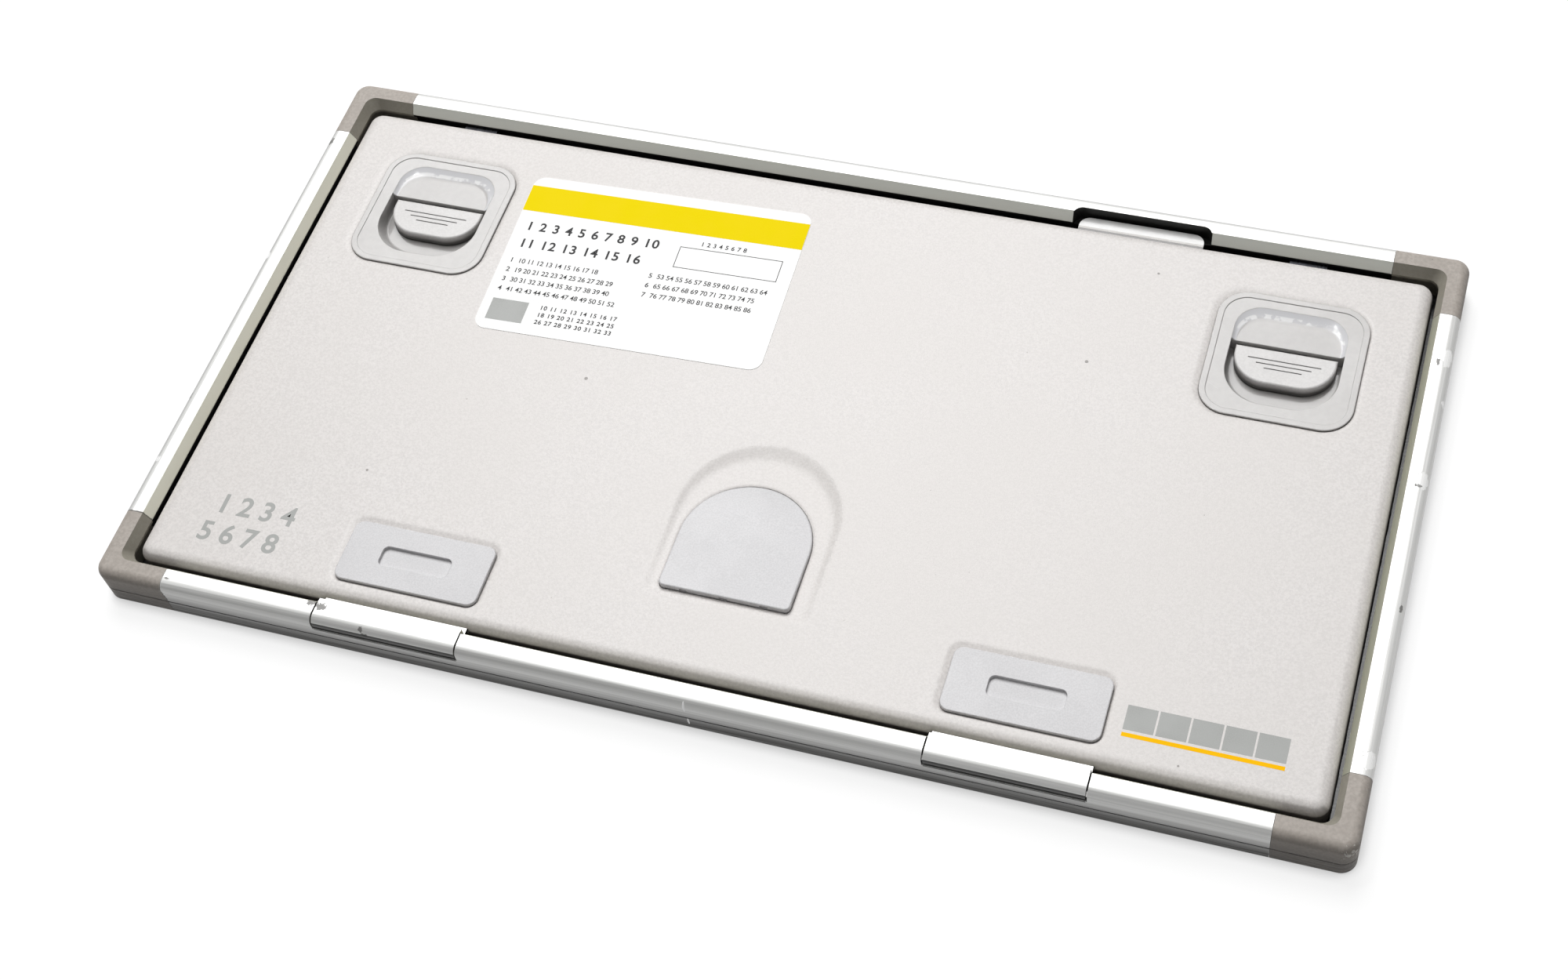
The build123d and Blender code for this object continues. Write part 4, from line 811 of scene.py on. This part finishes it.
def make_plush():
    material, tree = new_material("black_plush", Sheen_Weight=0.15, Sheen_Roughness=0.4,
                                  Specular_IOR_Level=0.2)
    pile = use_group(tree, grain, Scale=2600.0)
    tufts = use_group(tree, grain, Scale=700.0)
    both = calc(tree, "ADD", pile["Height"], tufts["Height"])
    colour = mix_colour(tree, pile["Tone"], (0.008, 0.008, 0.009), (0.045, 0.045, 0.048))
    return finish(material, colour, ramp(tree, tufts["Tone"], 0.0, 1.0, 0.85, 0.98), both,
                  depth=0.25 * MM, strength=0.9)


black_plush = make_plush()
for name in ("seal_front", "seal_back", "seal_left", "seal_right"):
    low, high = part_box(name)
    strip = soft_block(name + "_plush", low, high, step=1.2 * MM, radius=0.45 * MM, lump=0.22 * MM,
                       lump_scale=900.0)
    strip.data.materials.append(black_plush)
    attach(strip, "frame")
    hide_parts(name)
    print(strip.name, "points:", len(strip.data.vertices))


# %% [markdown]
# ## Pressure foam
# Behind the rear screen lies a thin open-cell foam, which presses screens and film together evenly.
# It is a cut slab, not a stuffed cushion, so it keeps its thickness and only its rim is soft and
# slightly wavy. Its cells are a cell pattern in the bump.

# %% Foam slab
def make_foam():
    material, tree = new_material("grey_foam", Specular_IOR_Level=0.2)
    cells = add_node(tree, "ShaderNodeTexVoronoi", {"Vector": object_place(tree), "Scale": 1600.0})
    tone = use_group(tree, grain, Scale=900.0)
    colour = mix_colour(tree, tone["Tone"], (0.09, 0.09, 0.095), (0.16, 0.16, 0.165))
    pores = mix_colour(tree, ramp(tree, cells.outputs["Distance"], 0.15, 0.0), colour,
                       (0.02, 0.02, 0.02))
    return finish(material, pores, ramp(tree, tone["Tone"], 0.0, 1.0, 0.85, 0.95),
                  cells.outputs["Distance"], depth=0.3 * MM, strength=0.8)


low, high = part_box("pressure_foam")
foam = soft_block("pressure_foam_slab", low, high, step=4.0 * MM, radius=0.35 * MM, lump=0.10 * MM,
                  lump_scale=120.0)
foam.data.materials.append(make_foam())
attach(foam, "lid")
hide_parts("pressure_foam")
print("foam slab, mm:", [round(v / MM, 2) for v in foam.dimensions])


# %% [markdown]
# ## Printed marks
# A print is a film of ink a few hundredths of a millimetre thick, with crisp edges. Drawing it as
# thin shapes keeps those edges crisp at any size. The sticker has a yellow band, rows of plain
# numbers, a grey square and an empty box for a date. The lid has plain numbers and a grey strip for
# an index.

# %% Ink as thin closed shapes
INK = 0.02 * MM
LABEL_TURN = math.radians(1.7)


def ink_shape(mesh, outline, surface):
    """Adds a closed sheet of ink on a flat surface at that height, from an outline in metres."""
    below = [mesh.verts.new((x, y, surface)) for x, y in outline]
    above = [mesh.verts.new((x, y, surface + INK)) for x, y in outline]
    mesh.faces.new(above)
    mesh.faces.new(below[::-1])
    for i in range(len(outline)):
        j = (i + 1) % len(outline)
        mesh.faces.new((below[i], below[j], above[j], above[i]))


def rectangle(centre, length, width):
    x, y = centre
    return [(x + sx * length / 2, y + sy * width / 2) for sx, sy in ((-1, -1), (1, -1), (1, 1), (-1, 1))]


def frame_bars(centre, length, width, line):
    """Four bars round an empty box."""
    x, y = centre
    return [rectangle((x, y + width / 2), length + line, line),
            rectangle((x, y - width / 2), length + line, line),
            rectangle((x - length / 2, y), line, width - line),
            rectangle((x + length / 2, y), line, width - line)]


def number_mesh(mesh, text, start, height, spacing=1.0, bold=0.0):
    """Adds a row of plain numbers from Blender's own typeface, centred in height on its start."""
    curve = bpy.data.curves.new("numbers", "FONT")
    curve.body, curve.size, curve.space_character = text, height / 0.7, spacing
    curve.align_x, curve.align_y = "LEFT", "CENTER"
    curve.extrude, curve.offset = INK / 2, bold
    holder = add_object("numbers", curve)
    view_layer = bpy.context.evaluated_depsgraph_get()
    flat = bpy.data.meshes.new_from_object(holder.evaluated_get(view_layer))
    flat.transform(Matrix.Translation((*start, INK / 2)))
    mesh.from_mesh(flat)
    bpy.data.objects.remove(holder)
    bpy.data.curves.remove(curve)
    bpy.data.meshes.remove(flat)


def finish_print(name, mesh, material, body, origin, turn=0.0):
    mesh.transform(Matrix.Translation(origin) @ Matrix.Rotation(turn, 4, "Z"))
    piece = mesh_object(name, mesh)
    piece.data.materials.append(material)
    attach(piece, body)
    print(name, "faces:", len(piece.data.polygons))


# %% Inks and label film
def make_ink(name, ink, faded, gloss, **constants):
    material, tree = new_material(name, **constants)
    screen = use_group(tree, grain, Scale=3800.0)
    patches = use_group(tree, grain, Scale=110.0)
    mixed = times(tree, screen["Tone"], ramp(tree, patches["Tone"], 0.0, 1.0, 0.25, 0.7))
    return finish(material, mix_colour(tree, mixed, ink, faded),
                  ramp(tree, patches["Tone"], 0.0, 1.0, gloss, gloss + 0.08), screen["Height"],
                  depth=0.01 * MM, strength=0.4)


yellow_ink = make_ink("yellow_ink", (1.0, 0.775, 0.0), (1.0, 0.82, 0.0), 0.30,
                      Specular_IOR_Level=0.07, Specular_Tint=(1.0, 0.80, 0.0, 1.0))
black_ink = make_ink("black_ink", (0.008, 0.008, 0.010), (0.022, 0.022, 0.024), 0.45,
                     Specular_IOR_Level=0.2)
small_ink = make_ink("small_print_ink", (0.012, 0.012, 0.014), (0.035, 0.035, 0.037), 0.45,
                     Specular_IOR_Level=0.2)
grey_ink = make_ink("grey_ink", (0.36, 0.37, 0.355), (0.44, 0.445, 0.43), 0.42)
amber_ink = make_ink("amber_ink", (0.92, 0.48, 0.001), (0.97, 0.56, 0.004), 0.26,
                     Specular_IOR_Level=0.6, Specular_Tint=(1.0, 0.55, 0.0, 1.0))
dress(make_plain("label_film", (0.86, 0.862, 0.855), (0.90, 0.90, 0.895), scale=900.0, gloss=0.26,
                 depth=0.012 * MM), "label")

# %% Print on the label
label_low, label_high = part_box("label")
label_centre = (label_low + label_high) / 2
BAND_LENGTH = 82.4 * MM
HEADING_LEFT = -38.0 * MM
HEADING_HEIGHT = 2.9 * MM
ROW_LEFT = (-38.6 * MM, 1.8 * MM)           # of the left and the right block of small rows
ROW_TOP = (-3.2 * MM, -1.6 * MM)
ROW_PITCH = 3.35 * MM
ROW_HEIGHT = 1.55 * MM
ROW_COUNTS = ((9, 11, 11, 12), (12, 11, 11))


def counting(first, count):
    return " ".join(str(n) for n in range(first, first + count))


band, heading, small, square = (bmesh.new() for _ in range(4))
ink_shape(band, rectangle((0, 19.3 * MM), BAND_LENGTH, 9.2 * MM), 0)
ink_shape(square, rectangle((-33.3 * MM, -20.4 * MM), 10.6 * MM, 7.2 * MM), 0)

for first, count, y in ((1, 10, 9.2 * MM), (11, 6, 3.0 * MM)):
    number_mesh(heading, counting(first, count), (HEADING_LEFT, y), HEADING_HEIGHT, 1.16, 0.09 * MM)
number_mesh(heading, counting(1, 8), (13.0 * MM, 11.6 * MM), 1.4 * MM, 1.1, 0.04 * MM)
for row in range(3):
    number_mesh(heading, counting(10 + row * 8, 8), (-24.5 * MM, -17.9 * MM - row * 2.45 * MM),
                1.35 * MM, 1.15, 0.04 * MM)

for bar in frame_bars((22.4 * MM, 6.2 * MM), 29.6 * MM, 7.2 * MM, 0.2 * MM):
    ink_shape(small, bar, 0)
index, first = 1, 10
for x, top, counts in zip(ROW_LEFT, ROW_TOP, ROW_COUNTS):
    for row, count in enumerate(counts):
        y = top - row * ROW_PITCH
        number_mesh(small, str(index), (x, y), ROW_HEIGHT, 1.0, 0.03 * MM)
        number_mesh(small, counting(first, count), (x + 2.4 * MM, y), ROW_HEIGHT, 0.96, 0.02 * MM)
        index, first = index + 1, first + count

label_top = (label_centre.x, label_centre.y, label_high.z)
for name, mesh, ink in (("label_band", band, yellow_ink), ("label_heading", heading, black_ink),
                        ("label_rows", small, small_ink), ("label_square", square, grey_ink)):
    finish_print(name, mesh, ink, "lid", label_top, LABEL_TURN)

# %% Print on the lid
NUMBERS_PLACE = (-128.4 * MM, -64.0 * MM)
NUMBER_HEIGHT = 5.6 * MM
STRIP_PLACE = (123.4 * MM, -65.2 * MM)
STRIP_SIZE = (39.0 * MM, 6.6 * MM)
STRIP_CELLS = 5
CELL_GAP = 0.5 * MM

numbers, strip, underline = (bmesh.new() for _ in range(3))
for text, place in (("1 2 3 4", (-11.0 * MM, 4.4 * MM)), ("5 6 7 8", (-12.4 * MM, -4.4 * MM))):
    number_mesh(numbers, text, place, NUMBER_HEIGHT, 1.0, 0.16 * MM)
finish_print("lid_numbers", numbers, grey_ink, "lid", (*NUMBERS_PLACE, lid_top))

cell = STRIP_SIZE[0] / STRIP_CELLS
for i in range(STRIP_CELLS):
    middle = (i - (STRIP_CELLS - 1) / 2) * cell
    ink_shape(strip, rectangle((middle, 0), cell - CELL_GAP, STRIP_SIZE[1]), 0)
finish_print("lid_index_strip", strip, grey_ink, "lid", (*STRIP_PLACE, lid_top))

ink_shape(underline, rectangle((0, -STRIP_SIZE[1] / 2 - 1.3 * MM), STRIP_SIZE[0] - CELL_GAP, 1.1 * MM), 0)
finish_print("lid_index_underline", underline, amber_ink, "lid", (*STRIP_PLACE, lid_top))


# %% [markdown]
# ## Floor and light
# The picture wants a white ground with only a soft shadow. The floor is a mid-tone that scatters
# little light back up, and it looks white to the camera and in reflections because it also glows for
# those rays alone. Close to the frame that glow fades, which paints the thin contact shadow. One
# large softbox stands where the lid's flat top mirrors it, which gives the enamel its sheen and
# leaves every slope a little darker. Two small boxes give glints in the scoops, next to the glint
# painted on the bezels.

# %% Floor
FLOOR_SIZE = 6.0
FLOOR_GLOW = 0.84
CONTACT_REACH = 5.0 * MM
CONTACT_SHADE = 0.62


def seen_directly(tree):
    """1 for rays from the camera and for mirrored or transmitted ones, 0 for scattered light."""
    path = add_node(tree, "ShaderNodeLightPath").outputs
    sharp = calc(tree, "MAXIMUM", path["Is Glossy Ray"], path["Is Transmission Ray"])
    return calc(tree, "MAXIMUM", path["Is Camera Ray"], sharp)


def make_floor():
    mesh = bmesh.new()
    bmesh.ops.create_grid(mesh, x_segments=8, y_segments=8, size=FLOOR_SIZE / 2)
    floor = mesh_object("floor", mesh)
    floor.location.z = -0.05 * MM
    material, tree = new_material("floor_white", Roughness=0.9, Specular_IOR_Level=0.0,
                                  Base_Color=(0.24, 0.24, 0.24, 1.0),
                                  Emission_Color=(1.0, 1.0, 1.0, 1.0))
    openness = add_node(tree, "ShaderNodeAmbientOcclusion", {"Distance": CONTACT_REACH}, samples=12)
    contact = ramp(tree, openness.outputs["AO"], 0.40, 0.84, CONTACT_SHADE, 1.0)
    glow = times(tree, seen_directly(tree), times(tree, contact, FLOOR_GLOW))
    tree.links.new(glow, tree.nodes["Principled BSDF"].inputs["Emission Strength"])
    floor.data.materials.append(material)


make_floor()

# %% World and softboxes
WORLD_LEVEL = 0.09


def make_world():
    world = bpy.data.worlds.new("studio")
    world.use_nodes = True
    tree = world.node_tree
    background = tree.nodes["Background"]
    background.inputs["Color"].default_value = (1.0, 1.0, 1.0, 1.0)
    extra = times(tree, seen_directly(tree), 1.0 - WORLD_LEVEL)
    tree.links.new(calc(tree, "ADD", extra, WORLD_LEVEL), background.inputs["Strength"])
    bpy.context.scene.world = world


def softbox(name, azimuth, elevation, distance, size, level):
    """Square lamp. At level 1 and head on, a white surface in the middle renders white."""
    data = bpy.data.lights.new(name, "AREA")
    data.shape, data.size = "SQUARE", size
    data.energy = level * 4 * math.pi * distance ** 2
    place = Matrix.Translation(direction(azimuth, elevation) * distance)
    add_object(name, data).matrix_world = place @ facing(azimuth, elevation)


make_world()
softbox("softbox_main", azimuth=203, elevation=56, distance=2.4, size=1.4, level=0.66)
softbox("softbox_right", azimuth=52, elevation=62, distance=1.2, size=0.22, level=0.04)
softbox("softbox_streak", azimuth=237, elevation=73.5, distance=1.2, size=0.10, level=0.08)
bpy.context.scene.view_settings.view_transform = "Standard"
